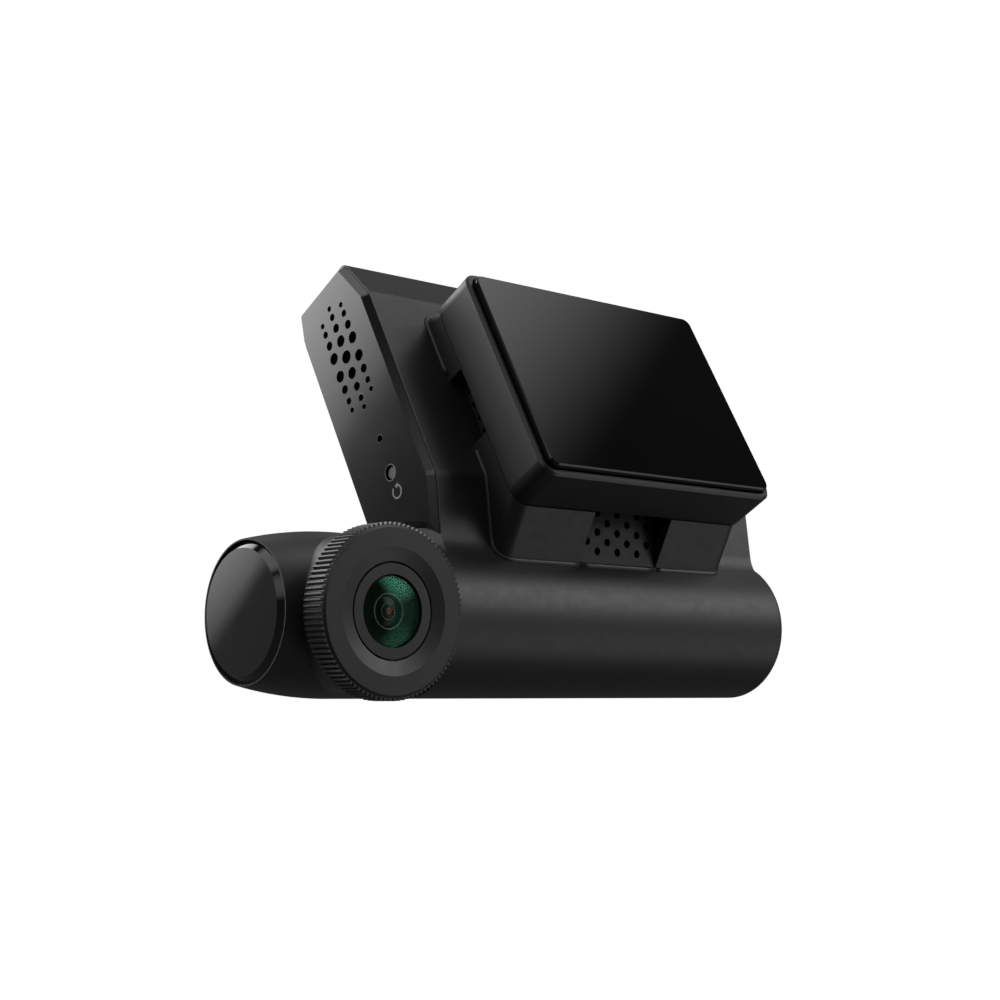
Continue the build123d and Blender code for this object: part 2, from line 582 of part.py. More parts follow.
BACK_PLATE_THICK = 1.2
with BuildPart() as display_back_plate:
    with BuildSketch(face_plane(SCREEN_BACK_N + FIT / 2)):
        with Locations((0, SCREEN_MID_T)):
            RectangleRounded(2 * PANEL_HALF, PANEL_HEIGHT, PANEL_MARGIN)
        with Locations((0, FLEX_T)):
            Rectangle(2 * FLEX_HALF + FLEX_SLOT_GAP, FLEX_SLOT, mode=Mode.SUBTRACT)
    extrude(amount=PANEL_N - SCREEN_BACK_N - FIT / 2)
    with BuildSketch(face_plane(SCREEN_BACK_N + FIT / 2 + BACK_PLATE_THICK)):
        with Locations((0, SCREEN_MID_T)):
            Rectangle(2 * (PANEL_HALF - 2 * BACK_PLATE_THICK), PANEL_HEIGHT - 4 * BACK_PLATE_THICK)
    extrude(amount=SCREEN_THICK, mode=Mode.SUBTRACT)
display_back_plate.part.label = "display_back_plate"
export_step(display_back_plate.part, "parts/display_back_plate.step")

FLEX_CONNECTOR, FLEX_THICK = 1.0, 0.4
with BuildPart() as screen_ribbon:
    with BuildSketch(face_plane(BOARD_TOP_N + FLEX_CONNECTOR)):
        with Locations((0, FLEX_T)):
            Rectangle(2 * FLEX_HALF, FLEX_THICK)
    extrude(amount=PANEL_N - BOARD_TOP_N - FLEX_CONNECTOR)
screen_ribbon.part.label = "screen_ribbon"
export_step(screen_ribbon.part, "parts/screen_ribbon.step")

# ================ inside the slab ================
BOARD_T = (CAVITY_T + BOARD_MARGIN_T, TOP_T - WALL - BOARD_MARGIN_T)
with BuildPart() as main_board:
    with BuildSketch(face_plane(BOARD_N)):
        with Locations((sum(BOARD_X) / 2, sum(BOARD_T) / 2)):
            RectangleRounded(BOARD_X[1] - BOARD_X[0], BOARD_T[1] - BOARD_T[0], POST_R / 2)
        with Locations(POST_PLACES):
            Circle(POST_R + FIT, mode=Mode.SUBTRACT)
    extrude(amount=BOARD_THICK)
main_board.part.label = "main_board"
export_step(main_board.part, "parts/main_board.step")

CHIP_THICK = 1.2            # processor and memory, under the heat sink
CHIPS = [                   # x, t, width, height and thickness
    (-6, 22, 12, 12, CHIP_THICK),
    (7, 22, 8, 10, CHIP_THICK),
    (-14, 31, 6, 4, 1.0),
    (18, 22, 5, 5, 1.6),
    (17, 27.5, 6, 3, 1.4),
    (0, FLEX_T, 2 * FLEX_HALF + 1, 0.9, FLEX_CONNECTOR),
]
with BuildPart() as board_chips:
    for x, t, width, height, thick in CHIPS:
        with BuildSketch(face_plane(BOARD_TOP_N)):
            with Locations((x, t)):
                Rectangle(width, height)
        extrude(amount=thick)
board_chips.part.label = "board_chips"
export_step(board_chips.part, "parts/board_chips.step")

SINK_N = BOARD_TOP_N + CHIP_THICK
SINK_X, SINK_T = -3.0, 26.0
SINK_WIDTH, SINK_HEIGHT, SINK_BASE = 30.0, 16.0, 1.0
FIN_PITCH, FINS, FIN_THICK = 2.5, 6, 0.8
with BuildPart() as heat_sink:
    with BuildSketch(face_plane(SINK_N)):
        with Locations((SINK_X, SINK_T)):
            Rectangle(SINK_WIDTH, SINK_HEIGHT)
    extrude(amount=SINK_BASE)
    with BuildSketch(face_plane(SINK_N + SINK_BASE)):
        with Locations((SINK_X, SINK_T)):
            with GridLocations(1, FIN_PITCH, 1, FINS):
                Rectangle(SINK_WIDTH, FIN_THICK)
    extrude(amount=FACE_N - WALL - SINK_N - 2 * SINK_BASE)
heat_sink.part.label = "heat_sink"
export_step(heat_sink.part, "parts/heat_sink.step")

ANTENNA_X, ANTENNA_SIDE, ANTENNA_THICK = -11.0, 15.0, 4.0
ANTENNA_T = BOARD_T[1] - 1.5 - ANTENNA_SIDE / 2
PATCH_SIDE, PATCH_THICK = 11.0, 0.2
with BuildPart() as positioning_antenna:
    with BuildSketch(face_plane(BOARD_TOP_N)):
        with Locations((ANTENNA_X, ANTENNA_T)):
            RectangleRounded(ANTENNA_SIDE, ANTENNA_SIDE, 0.6)
    extrude(amount=ANTENNA_THICK)
    with BuildSketch(face_plane(BOARD_TOP_N + ANTENNA_THICK)):
        with Locations((ANTENNA_X, ANTENNA_T)):
            Rectangle(PATCH_SIDE, PATCH_SIDE)
    extrude(amount=PATCH_THICK)
positioning_antenna.part.label = "positioning_antenna"
export_step(positioning_antenna.part, "parts/positioning_antenna.step")

SPEAKER_LENGTH, SPEAKER_CORNER_R = 19.6, 1.5
SPEAKER_LIP, SPEAKER_LIP_DEPTH, SPEAKER_BACK = 1.0, 1.6, 2.2
SPEAKER_WIDTH = FACE_N - 2 * (WALL + SPEAKER_LIP)     # stays inside the left plate's rim
CONE_THICK, CONE_CORNER_R = 0.5, 0.8
CONE_LENGTH = SPEAKER_LENGTH - 2 * SPEAKER_LIP - 4 * FIT
CONE_WIDTH = SPEAKER_WIDTH - 2 * SPEAKER_LIP - 4 * FIT
with BuildPart() as speaker_frame:
    with BuildSketch(side_plane(-BODY_HALF)):
        with Locations((SPEAKER_T, SPEAKER_N)):
            RectangleRounded(SPEAKER_LENGTH, SPEAKER_WIDTH, SPEAKER_CORNER_R)
    extrude(amount=SPEAKER_LIP_DEPTH + SPEAKER_BACK)
    with BuildSketch(side_plane(-BODY_HALF)):
        with Locations((SPEAKER_T, SPEAKER_N)):
            RectangleRounded(CONE_LENGTH + 4 * FIT, CONE_WIDTH + 4 * FIT, SPEAKER_CORNER_R - SPEAKER_LIP / 2)
    extrude(amount=SPEAKER_LIP_DEPTH, mode=Mode.SUBTRACT)
speaker_frame.part.label = "speaker_frame"
export_step(speaker_frame.part, "parts/speaker_frame.step")

with BuildPart() as speaker_cone:
    with BuildSketch(side_plane(-BODY_HALF + SPEAKER_LIP_DEPTH - CONE_THICK)):
        with Locations((SPEAKER_T, SPEAKER_N)):
            RectangleRounded(CONE_LENGTH, CONE_WIDTH, CONE_CORNER_R)
    extrude(amount=CONE_THICK)
speaker_cone.part.label = "speaker_cone"
export_step(speaker_cone.part, "parts/speaker_cone.step")

MIC_BODY_R, MIC_THICK, MIC_PORT_DEPTH = 1.9, 2.0, 0.6
with BuildPart() as microphone:
    with BuildSketch(side_plane(-BODY_HALF)):
        with Locations((MIC_T, MIC_N)):
            Circle(MIC_BODY_R)
    extrude(amount=MIC_THICK)
    with BuildSketch(side_plane(-BODY_HALF)):
        with Locations((MIC_T, MIC_N)):
            Circle(MIC_R)
    extrude(amount=MIC_PORT_DEPTH, mode=Mode.SUBTRACT)
microphone.part.label = "microphone"
export_step(microphone.part, "parts/microphone.step")

SOCKET_T = TOP_T - FIT - SOCKET_LENGTH
SOCKET_CORNER_R, SOCKET_BASE = 1.4, 0.8
TONGUE_WIDTH, TONGUE_THICK, TONGUE_LENGTH = 6.6, 0.7, 5.8
with BuildPart() as usb_socket:
    with BuildSketch(end_plane(SOCKET_T)):
        with Locations((INLET_X, -SOCKET_N)):
            RectangleRounded(SOCKET_WIDTH, SOCKET_HEIGHT, SOCKET_CORNER_R)
    extrude(amount=SOCKET_LENGTH)
    with BuildSketch(end_plane(SOCKET_T + SOCKET_BASE)):
        with Locations((INLET_X, -SOCKET_N)):
            RectangleRounded(
                SOCKET_WIDTH - 2 * SOCKET_SKIN, SOCKET_HEIGHT - 2 * SOCKET_SKIN, SOCKET_CORNER_R - SOCKET_SKIN
            )
    extrude(amount=SOCKET_LENGTH, mode=Mode.SUBTRACT)
    with BuildSketch(end_plane(SOCKET_T)):
        with Locations((INLET_X, -SOCKET_N)):
            Rectangle(TONGUE_WIDTH, TONGUE_THICK)
    extrude(amount=TONGUE_LENGTH)
usb_socket.part.label = "usb_socket"
export_step(usb_socket.part, "parts/usb_socket.step")

CARD_OUT_X = BODY_HALF + PLATE_THICK + CARD_PROUD
SOCKET_DEEP_X = CARD_OUT_X - CARD_LENGTH - 1.5 * CARD_HOLDER_WALL
with BuildPart() as card_socket:
    with BuildSketch(side_plane(SOCKET_DEEP_X)):
        with Locations((CARD_T, CARD_N)):
            Rectangle(CARD_WIDTH + 2 * CARD_HOLDER_WALL, CARD_THICK + 2 * CARD_HOLDER_WALL)
    extrude(amount=BODY_HALF - PLATE_RIM - SOCKET_DEEP_X - FIT)
    with BuildSketch(side_plane(SOCKET_DEEP_X + CARD_HOLDER_WALL)):
        with Locations((CARD_T, CARD_N)):
            Rectangle(CARD_WIDTH + 2 * SLIDING, CARD_THICK + 2 * SLIDING)
    extrude(amount=2 * CARD_LENGTH, mode=Mode.SUBTRACT)
card_socket.part.label = "card_socket"
export_step(card_socket.part, "parts/card_socket.step")

with BuildPart() as memory_card:
    with BuildSketch(side_plane(CARD_OUT_X - CARD_LENGTH)):
        with Locations((CARD_T, CARD_N)):
            Rectangle(CARD_WIDTH, CARD_THICK)
    extrude(amount=CARD_LENGTH)
    inner_corners = memory_card.edges().filter_by(Axis((0, 0, 0), OUT_SLAB)).group_by(Axis.X)[0]
    chamfer(inner_corners[-1], length=CARD_CORNER)
memory_card.part.label = "memory_card"
export_step(memory_card.part, "parts/memory_card.step")

# ================ keys and their switches ================
# each key is a plunger in its plate's hole, with a flange behind the plate and a pin just short of its switch
RESET_SINK = 0.3            # reset key lies below its plate's face
FLANGE_PROUD, FLANGE_THICK = 1.0, 0.5
PIN_R, PIN_LENGTH = 0.85, 0.6
SWITCH_SIDE = 2.6
with BuildPart() as reset_button:
    with BuildSketch(side_plane(-BODY_HALF - PLATE_THICK + RESET_SINK)):
        with Locations((RESET_T, RESET_N)):
            Circle(RESET_R)
    extrude(amount=PLATE_THICK - RESET_SINK + FIT + FLANGE_THICK + PIN_LENGTH)
    with BuildSketch(side_plane(-BODY_HALF + FIT)):
        with Locations((RESET_T, RESET_N)):
            Circle(RESET_R + FLANGE_PROUD)
    extrude(amount=FLANGE_THICK)
reset_button.part.label = "reset_button"
export_step(reset_button.part, "parts/reset_button.step")

for name, key_t in (("power_button", KEY_T[0]), ("event_button", KEY_T[1])):
    with BuildPart() as key:
        with BuildSketch(side_plane(BODY_HALF - FIT)):
            with Locations((key_t, KEY_N)):
                Circle(KEY_R)
        extrude(amount=PLATE_THICK + FIT + KEY_PROUD)
        fillet(key.faces().sort_by(Axis.X)[-1].edges(), radius=KEY_PROUD / 2)
        with BuildSketch(side_plane(BODY_HALF - FIT)):
            with Locations((key_t, KEY_N)):
                Circle(KEY_R + FLANGE_PROUD)
        extrude(amount=-FLANGE_THICK)
        with BuildSketch(side_plane(BODY_HALF - FIT - FLANGE_THICK)):
            with Locations((key_t, KEY_N)):
                Circle(PIN_R)
        extrude(amount=-PIN_LENGTH)
    key.part.label = name
    export_step(key.part, f"parts/{name}.step")

# switches stand on the board's two edges
PIN_END = FIT + FLANGE_THICK + PIN_LENGTH + KEY_TRAVEL + FIT     # behind the plate
with BuildPart() as key_switches:
    with BuildSketch(face_plane(BOARD_TOP_N)):
        with Locations([((BODY_HALF - PIN_END + BOARD_X[1] - SWITCH_SIDE) / 2, t) for t in KEY_T]):
            Rectangle(BODY_HALF - PIN_END - BOARD_X[1] + SWITCH_SIDE, SWITCH_SIDE)
    extrude(amount=KEY_N + SWITCH_SIDE / 2 - BOARD_TOP_N)
    with BuildSketch(face_plane(BOARD_TOP_N)):
        with Locations(((PIN_END - BODY_HALF + BOARD_X[0] + SWITCH_SIDE) / 2, RESET_T)):
            Rectangle(BODY_HALF - PIN_END + BOARD_X[0] + SWITCH_SIDE, SWITCH_SIDE)
    extrude(amount=RESET_N + SWITCH_SIDE / 2 - BOARD_TOP_N)
key_switches.part.label = "key_switches"
export_step(key_switches.part, "parts/key_switches.step")

# ================ inside the barrel ================
BATTERY_R = BORE_R - BATTERY_GAP
BATTERY_X = (-BARREL_REACH + HUB_LENGTH + 9, BARREL_REACH - WALL - 2)
CRADLE_X = (BATTERY_X[0] + 4, BATTERY_X[1] - 4)
with BuildPart() as backup_battery:
    with BuildSketch(side_plane(BATTERY_X[0])):
        Circle(BATTERY_R)
    extrude(amount=BATTERY_X[1] - BATTERY_X[0])
    fillet(backup_battery.edges().filter_by(GeomType.CIRCLE), radius=0.8)
backup_battery.part.label = "backup_battery"
export_step(backup_battery.part, "parts/backup_battery.step")

with BuildPart() as battery_cradle:
    with BuildSketch(side_plane(CRADLE_X[0])):
        Circle(BORE_R)
        Circle(BATTERY_R + BATTERY_PRESS, mode=Mode.SUBTRACT)
        with Locations((BORE_R, 0)):
            Rectangle(BORE_R, 3 * BORE_R, mode=Mode.SUBTRACT)
    extrude(amount=CRADLE_X[1] - CRADLE_X[0])
battery_cradle.part.label = "battery_cradle"
export_step(battery_cradle.part, "parts/battery_cradle.step")

with BuildPart() as bearing_sleeve:
    with BuildSketch(side_plane(-BARREL_REACH + SLEEVE_INSET)):
        Circle(BORE_R)
        Circle(HUB_R + RUNNING, mode=Mode.SUBTRACT)
    extrude(amount=SLEEVE_LENGTH)
bearing_sleeve.part.label = "bearing_sleeve"
export_step(bearing_sleeve.part, "parts/bearing_sleeve.step")

# ================ camera head ================
HUB_END_X = HEAD_X + HEAD_GAP + HUB_LENGTH
CLIP_X = -BARREL_REACH + SLEEVE_INSET + SLEEVE_LENGTH + FIT
CLIP_R = HUB_R + CLIP_PROUD
SEAL_X = -BARREL_REACH + SEAL_INSET
RECESS_R = CAP_R + SLIDING
with BuildPart() as head_shell:
    with BuildSketch(TURN_PLANE):
        with BuildLine():
            Line((HEAD_X, 0), (HEAD_X, BARREL_R - SEAM_BEVEL))
            Line((HEAD_X, BARREL_R - SEAM_BEVEL), (HEAD_X - SEAM_BEVEL, BARREL_R))
            Line((HEAD_X - SEAM_BEVEL, BARREL_R), (TAPER_X, BARREL_R))
            RadiusArc((TAPER_X, BARREL_R), (HEAD_END_X, BARREL_R - TAPER_DROP), -HEAD_TAPER_R)
            Line((HEAD_END_X, BARREL_R - TAPER_DROP), (HEAD_END_X, 0))
            Line((HEAD_END_X, 0), (HEAD_X, 0))
        make_face()
    revolve(axis=TURN_AXIS)
    with BuildSketch(lens_plane(0)):
        Circle(BOSS_R)
    extrude(amount=BOSS_D)
    with BuildSketch(lens_plane(0)):
        Circle(NOSE_R)
    extrude(amount=NOSE_D)
    with BuildSketch(side_plane(HEAD_END_X - 1)):
        Circle(HEAD_BORE_R)
    extrude(amount=HEAD_LENGTH + 1 - WALL, mode=Mode.SUBTRACT)
    with BuildSketch(side_plane(HEAD_END_X - 1)):
        Circle(RECESS_R)
    extrude(amount=1 + CAP_SEAT, mode=Mode.SUBTRACT)
    with BuildSketch(side_plane(HEAD_X)):
        Circle(HUB_R)
    extrude(amount=HUB_END_X - HEAD_X)
    with BuildSketch(side_plane(HEAD_X - 2 * WALL)):
        Circle(HUB_BORE_R)
    extrude(amount=HUB_LENGTH + 4 * WALL, mode=Mode.SUBTRACT)
    with BuildSketch(side_plane(CLIP_X - FIT / 2)):
        Circle(HUB_R + 1)
        Circle(HUB_R - CLIP_DEPTH, mode=Mode.SUBTRACT)
    extrude(amount=CLIP_WIDTH + FIT, mode=Mode.SUBTRACT)
    with BuildSketch(side_plane(SEAL_X - SEAL_R - FIT)):
        Circle(HUB_R + 1)
        Circle(HUB_R - 2 * SEAL_R, mode=Mode.SUBTRACT)
    extrude(amount=2 * (SEAL_R + FIT), mode=Mode.SUBTRACT)
    with BuildSketch(lens_plane(0)):
        Circle(LENS_BORE_R)
    extrude(amount=2 * NOSE_D, mode=Mode.SUBTRACT)
head_shell.part.label = "head_shell"
export_step(head_shell.part, "parts/head_shell.step")

with BuildPart() as head_end_cap:
    with BuildSketch(side_plane(HEAD_END_X + CAP_SEAT)):
        Circle(CAP_R)
    extrude(amount=-(CAP_PROUD + CAP_SEAT))
    chamfer(head_end_cap.faces().sort_by(Axis.X)[0].edges(), length=CAP_CHAMFER)
    with BuildSketch(side_plane(HEAD_END_X + CAP_SEAT)):
        Circle(HEAD_BORE_R - FIT)
        Circle(HEAD_BORE_R - FIT - PLATE_RIM_WALL, mode=Mode.SUBTRACT)
    extrude(amount=PLATE_RIM)
head_end_cap.part.label = "head_end_cap"
export_step(head_end_cap.part, "parts/head_end_cap.step")

with BuildPart() as hub_clip:
    with BuildSketch(side_plane(CLIP_X)):
        Circle(CLIP_R)
        Circle(HUB_R - CLIP_DEPTH + FIT / 2, mode=Mode.SUBTRACT)
        with Locations((0, -CLIP_R)):
            Rectangle(CLIP_MOUTH, 2 * CLIP_R, mode=Mode.SUBTRACT)
    extrude(amount=CLIP_WIDTH)
hub_clip.part.label = "hub_clip"
export_step(hub_clip.part, "parts/hub_clip.step")

with BuildPart() as friction_seal:
    with BuildSketch(TURN_PLANE):
        with Locations((SEAL_X, HUB_R - SEAL_R)):
            Circle(SEAL_R)
    revolve(axis=TURN_AXIS)
friction_seal.part.label = "friction_seal"
export_step(friction_seal.part, "parts/friction_seal.step")

# ================ lens group ================
RING_BACK_D = BOSS_D + RING_GAP
FLANGE_D = NOSE_D + RING_GAP
RIB_FOOT_R = RING_R - RUNNING
with BuildPart() as lens_ring:
    with BuildSketch(LENS_PLANE):
        with BuildLine():
            Polyline(
                (NOSE_R + RUNNING, RING_BACK_D),
                (RING_R, RING_BACK_D),
                (RING_R, RING_FRONT_D - RING_BEVEL),
                (RING_R - RING_BEVEL, RING_FRONT_D),
                (RING_DISH_R, RING_FRONT_D),
                (RING_HOLE_R, RING_FRONT_D - RING_DISH_DEPTH),
                (RING_HOLE_R, FLANGE_D + RING_SEAT),
                (BEZEL_FLANGE_R + SLIDING, FLANGE_D + RING_SEAT),
                (BEZEL_FLANGE_R + SLIDING, NOSE_D),
                (NOSE_R + RUNNING, NOSE_D),
                close=True,
            )
        make_face()
    revolve(axis=LENS_AXIS)
    ribs = []
    for rib in range(RING_RIBS):
        for turn, radius in ((0.0, RIB_FOOT_R), (0.3, RING_TIP_R), (0.6, RING_TIP_R), (0.9, RIB_FOOT_R)):
            angle = 2 * math.pi * (rib + turn) / RING_RIBS
            ribs.append((radius * math.cos(angle), radius * math.sin(angle)))
    with BuildSketch(lens_plane(RING_BACK_D + RING_BEVEL / 2)):
        with BuildLine():
            Polyline(*ribs, close=True)
        make_face()
        Circle(RING_R - RIB_HEIGHT, mode=Mode.SUBTRACT)
    extrude(amount=RING_FRONT_D - 1.5 * RING_BEVEL - RING_BACK_D)
lens_ring.part.label = "lens_ring"
export_step(lens_ring.part, "parts/lens_ring.step")

with BuildPart() as lens_bezel:
    with BuildSketch(LENS_PLANE):
        with BuildLine():
            Polyline(
                (LENS_TUBE_R + FIT, NOSE_D - BEZEL_STEP),
                (LENS_BORE_R - BEZEL_PRESS, NOSE_D - BEZEL_STEP),
                (LENS_BORE_R - BEZEL_PRESS, FLANGE_D),
                (BEZEL_FLANGE_R, FLANGE_D),
                (BEZEL_FLANGE_R, FLANGE_D + BEZEL_FLANGE),
                (BEZEL_R, FLANGE_D + BEZEL_FLANGE),
                (BEZEL_R, BEZEL_FRONT_D),
                (GLASS_R + FIT, BEZEL_FRONT_D),
                (GLASS_R + FIT, BEZEL_FRONT_D - BEZEL_STEP),
                (LENS_TUBE_R + FIT, BEZEL_FRONT_D - BEZEL_STEP),
                close=True,
            )
        make_face()
    revolve(axis=LENS_AXIS)
lens_bezel.part.label = "lens_bezel"
export_step(lens_bezel.part, "parts/lens_bezel.step")

GLASS_RIM_D = BEZEL_FRONT_D - 0.2
GLASS_RISE = GLASS_APEX_D - GLASS_RIM_D
GLASS_DOME_R = (GLASS_R**2 + GLASS_RISE**2) / (2 * GLASS_RISE)
with BuildPart() as lens_glass:
    with BuildSketch(LENS_PLANE):
        with BuildLine():
            Line((0, GLASS_RIM_D - GLASS_EDGE), (GLASS_R, GLASS_RIM_D - GLASS_EDGE))
            Line((GLASS_R, GLASS_RIM_D - GLASS_EDGE), (GLASS_R, GLASS_RIM_D))
            RadiusArc((GLASS_R, GLASS_RIM_D), (0, GLASS_APEX_D), -GLASS_DOME_R)
            Line((0, GLASS_APEX_D), (0, GLASS_RIM_D - GLASS_EDGE))
        make_face()
    revolve(axis=LENS_AXIS)
lens_glass.part.label = "lens_glass"
export_step(lens_glass.part, "parts/lens_glass.step")

# lens tube: a foot on the sensor board, and a throat that narrows behind the front glass
FOOT_R, FOOT_HEIGHT = LENS_BORE_R - 0.3, 3.0
TUBE_WALL, BACK_BORE_R, THROAT_R = 0.8, 3.2, 2.6
THROAT_D = BEZEL_FRONT_D - 3.0
with BuildPart() as lens_barrel:
    with BuildSketch(LENS_PLANE):
        with BuildLine():
            Polyline(
                (LENS_TUBE_R - TUBE_WALL, 0),
                (FOOT_R, 0),
                (FOOT_R, FOOT_HEIGHT),
                (LENS_TUBE_R, FOOT_HEIGHT),
                (LENS_TUBE_R, GLASS_RIM_D - GLASS_EDGE - FIT),
                (LENS_TUBE_R - TUBE_WALL, GLASS_RIM_D - GLASS_EDGE - FIT),
                (THROAT_R, THROAT_D),
                (BACK_BORE_R, THROAT_D - FOOT_HEIGHT),
                (BACK_BORE_R, FOOT_HEIGHT),
                (LENS_TUBE_R - TUBE_WALL, FOOT_HEIGHT),
                close=True,
            )
        make_face()
    revolve(axis=LENS_AXIS)
lens_barrel.part.label = "lens_barrel"
export_step(lens_barrel.part, "parts/lens_barrel.step")

with BuildPart() as lens_elements:
    for depth, thick in ((THROAT_D - FOOT_HEIGHT - 2.0, 1.6), (FOOT_HEIGHT + 0.9, 1.0)):
        with BuildSketch(lens_plane(depth)):
            Circle(BACK_BORE_R - FIT / 5)
        extrude(amount=thick)
lens_elements.part.label = "lens_elements"
export_step(lens_elements.part, "parts/lens_elements.step")

with BuildPart() as sensor_board:
    with BuildSketch(lens_plane(0)):
        RectangleRounded(SENSOR_BOARD, SENSOR_BOARD, 1)
    extrude(amount=-SENSOR_BOARD_THICK)
sensor_board.part.label = "sensor_board"
export_step(sensor_board.part, "parts/sensor_board.step")

SENSOR_WIDTH, SENSOR_HEIGHT = 6.6, 5.4
with BuildPart() as image_sensor:
    with BuildSketch(lens_plane(0)):
        Rectangle(SENSOR_WIDTH, SENSOR_HEIGHT)
    extrude(amount=SENSOR_D)
image_sensor.part.label = "image_sensor"
export_step(image_sensor.part, "parts/image_sensor.step")

# ================ windscreen bracket ================
LIP_N = BACK_N - SLIDING                        # bracket's lips end just off the cover
with BuildPart() as windscreen_bracket:
    with BuildSketch(face_plane(BRACKET_N)):
        with Locations((0, RAIL_T)):
            RectangleRounded(2 * BRACKET_HALF, 2 * BRACKET_T_HALF, BRACKET_CORNER_R)
    extrude(amount=-BRACKET_PLATE)
    with BuildSketch(face_plane(BRACKET_N)):
        with Locations((0, RAIL_T)):
            Rectangle(2 * RAIL_HALF, RAIL_HEAD + 2 * JAW)
            Rectangle(2 * RAIL_HALF, RAIL_HEAD + 2 * SLIDING, mode=Mode.SUBTRACT)
    extrude(amount=LIP_N - BRACKET_N)
    with BuildSketch(face_plane(BACK_N - RAIL_STEP + SLIDING)):
        with Locations((0, RAIL_T)):
            Rectangle(2 * RAIL_HALF, RAIL_HEAD + 2 * JAW)
            Rectangle(2 * RAIL_HALF, RAIL_NECK + 2 * SLIDING, mode=Mode.SUBTRACT)
    extrude(amount=LIP_N - (BACK_N - RAIL_STEP + SLIDING))
windscreen_bracket.part.label = "windscreen_bracket"
export_step(windscreen_bracket.part, "parts/windscreen_bracket.step")

with BuildPart() as adhesive_pad:
    with BuildSketch(face_plane(PAD_N)):
        with Locations((0, RAIL_T)):
            RectangleRounded(
                2 * (BRACKET_HALF - PAD_INSET), 2 * (BRACKET_T_HALF - PAD_INSET), BRACKET_CORNER_R
            )
    extrude(amount=PAD_THICK)
adhesive_pad.part.label = "adhesive_pad"
export_step(adhesive_pad.part, "parts/adhesive_pad.step")
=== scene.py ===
"""Looks of the dash camera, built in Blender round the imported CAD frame."""
import json
import math

import bmesh
import bpy
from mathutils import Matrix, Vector


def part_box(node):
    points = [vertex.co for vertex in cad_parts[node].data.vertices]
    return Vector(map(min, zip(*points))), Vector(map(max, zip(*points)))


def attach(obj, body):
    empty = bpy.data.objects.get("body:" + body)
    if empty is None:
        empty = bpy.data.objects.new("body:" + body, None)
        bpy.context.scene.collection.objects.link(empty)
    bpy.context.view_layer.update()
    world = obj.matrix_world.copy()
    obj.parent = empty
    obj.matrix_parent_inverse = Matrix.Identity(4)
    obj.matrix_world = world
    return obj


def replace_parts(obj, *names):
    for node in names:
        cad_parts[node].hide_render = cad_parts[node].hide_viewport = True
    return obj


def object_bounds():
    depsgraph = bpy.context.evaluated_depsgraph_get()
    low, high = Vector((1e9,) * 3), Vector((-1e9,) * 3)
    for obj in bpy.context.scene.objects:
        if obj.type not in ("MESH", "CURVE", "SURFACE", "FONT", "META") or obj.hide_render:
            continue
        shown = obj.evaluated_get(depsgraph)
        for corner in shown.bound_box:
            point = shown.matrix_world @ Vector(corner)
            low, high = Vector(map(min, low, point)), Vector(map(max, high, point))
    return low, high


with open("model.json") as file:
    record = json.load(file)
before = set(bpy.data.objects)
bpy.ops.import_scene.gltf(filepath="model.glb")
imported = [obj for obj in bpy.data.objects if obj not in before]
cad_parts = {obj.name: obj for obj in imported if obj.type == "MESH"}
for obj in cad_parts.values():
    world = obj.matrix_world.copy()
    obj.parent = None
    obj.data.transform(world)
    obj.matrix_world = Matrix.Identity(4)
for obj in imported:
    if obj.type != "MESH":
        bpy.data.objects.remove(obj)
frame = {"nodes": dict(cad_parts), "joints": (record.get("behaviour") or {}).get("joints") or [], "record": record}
CAD_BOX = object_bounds()
NODES = frame["nodes"]
JOINTS = {joint["name"]: joint for joint in frame["joints"]}
MOUNTS = {mount["name"]: mount for mount in frame["record"]["mounts"]}
MM = 0.001

# ---- the frame's own directions and places ----
OUT = -Vector(MOUNTS["windscreen_pad"]["axis"])     # out of the slab's cabin face
UP = Vector(MOUNTS["power_inlet"]["axis"])          # up along the slab
LENS = Vector(JOINTS["lens_ring_turn"]["pos_m"])    # on the barrel's axis, behind the lens
BARREL_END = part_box("main_housing")[1][0]
AXIS_Y, AXIS_Z = LENS.y, LENS.z


def slab_point(x, t, n):
    """A point given in millimetres by X, the way up the slab and the height over the barrel's axis."""
    return Vector((x * MM, AXIS_Y, AXIS_Z)) + UP * (t * MM) + OUT * (n * MM)


# ================ materials ================
class Shader:
    """A node tree being built: each call adds one node and links what it is given."""

    def __init__(self, name):
        self.material = bpy.data.materials.new(name)
        self.material.use_nodes = True
        self.nodes = self.material.node_tree.nodes
        self.links = self.material.node_tree.links
        self.surface = self.nodes["Principled BSDF"]

    def add(self, kind, inputs=None, **settings):
        node = self.nodes.new(kind)
        for key, value in settings.items():
            setattr(node, key, value)
        for key, value in (inputs or {}).items():
            self.feed(node, key, value)
        return node

    def feed(self, node, key, value):
        if isinstance(value, bpy.types.NodeSocket):
            self.links.new(value, node.inputs[key])
        else:
            node.inputs[key].default_value = value

    def set(self, **values):
        for key, value in values.items():
            self.feed(self.surface, key.replace("_", " "), value)
        return self

    def place(self):
        return self.add("ShaderNodeTexCoord").outputs["Object"]

    def noise(self, size_mm, detail=2.0, roughness=0.5):
        scale = 1.0 / (size_mm * MM)
        inputs = {"Vector": self.place(), "Scale": scale, "Detail": detail, "Roughness": roughness}
        return self.add("ShaderNodeTexNoise", inputs).outputs["Fac"]

    def spread(self, value, low, high, start=0.3, end=0.7):
        inputs = {"Value": value, "From Min": start, "From Max": end, "To Min": low, "To Max": high}
        return self.add("ShaderNodeMapRange", inputs).outputs["Result"]

    def blend(self, factor, first, second):
        node = self.add("ShaderNodeMix", data_type="RGBA")
        self.feed(node, 0, factor)
        self.feed(node, 6, rgba(first))
        self.feed(node, 7, rgba(second))
        return node.outputs[2]

    def bump(self, height, strength, depth_mm):
        inputs = {"Height": height, "Strength": strength, "Distance": depth_mm * MM}
        return self.add("ShaderNodeBump", inputs).outputs["Normal"]


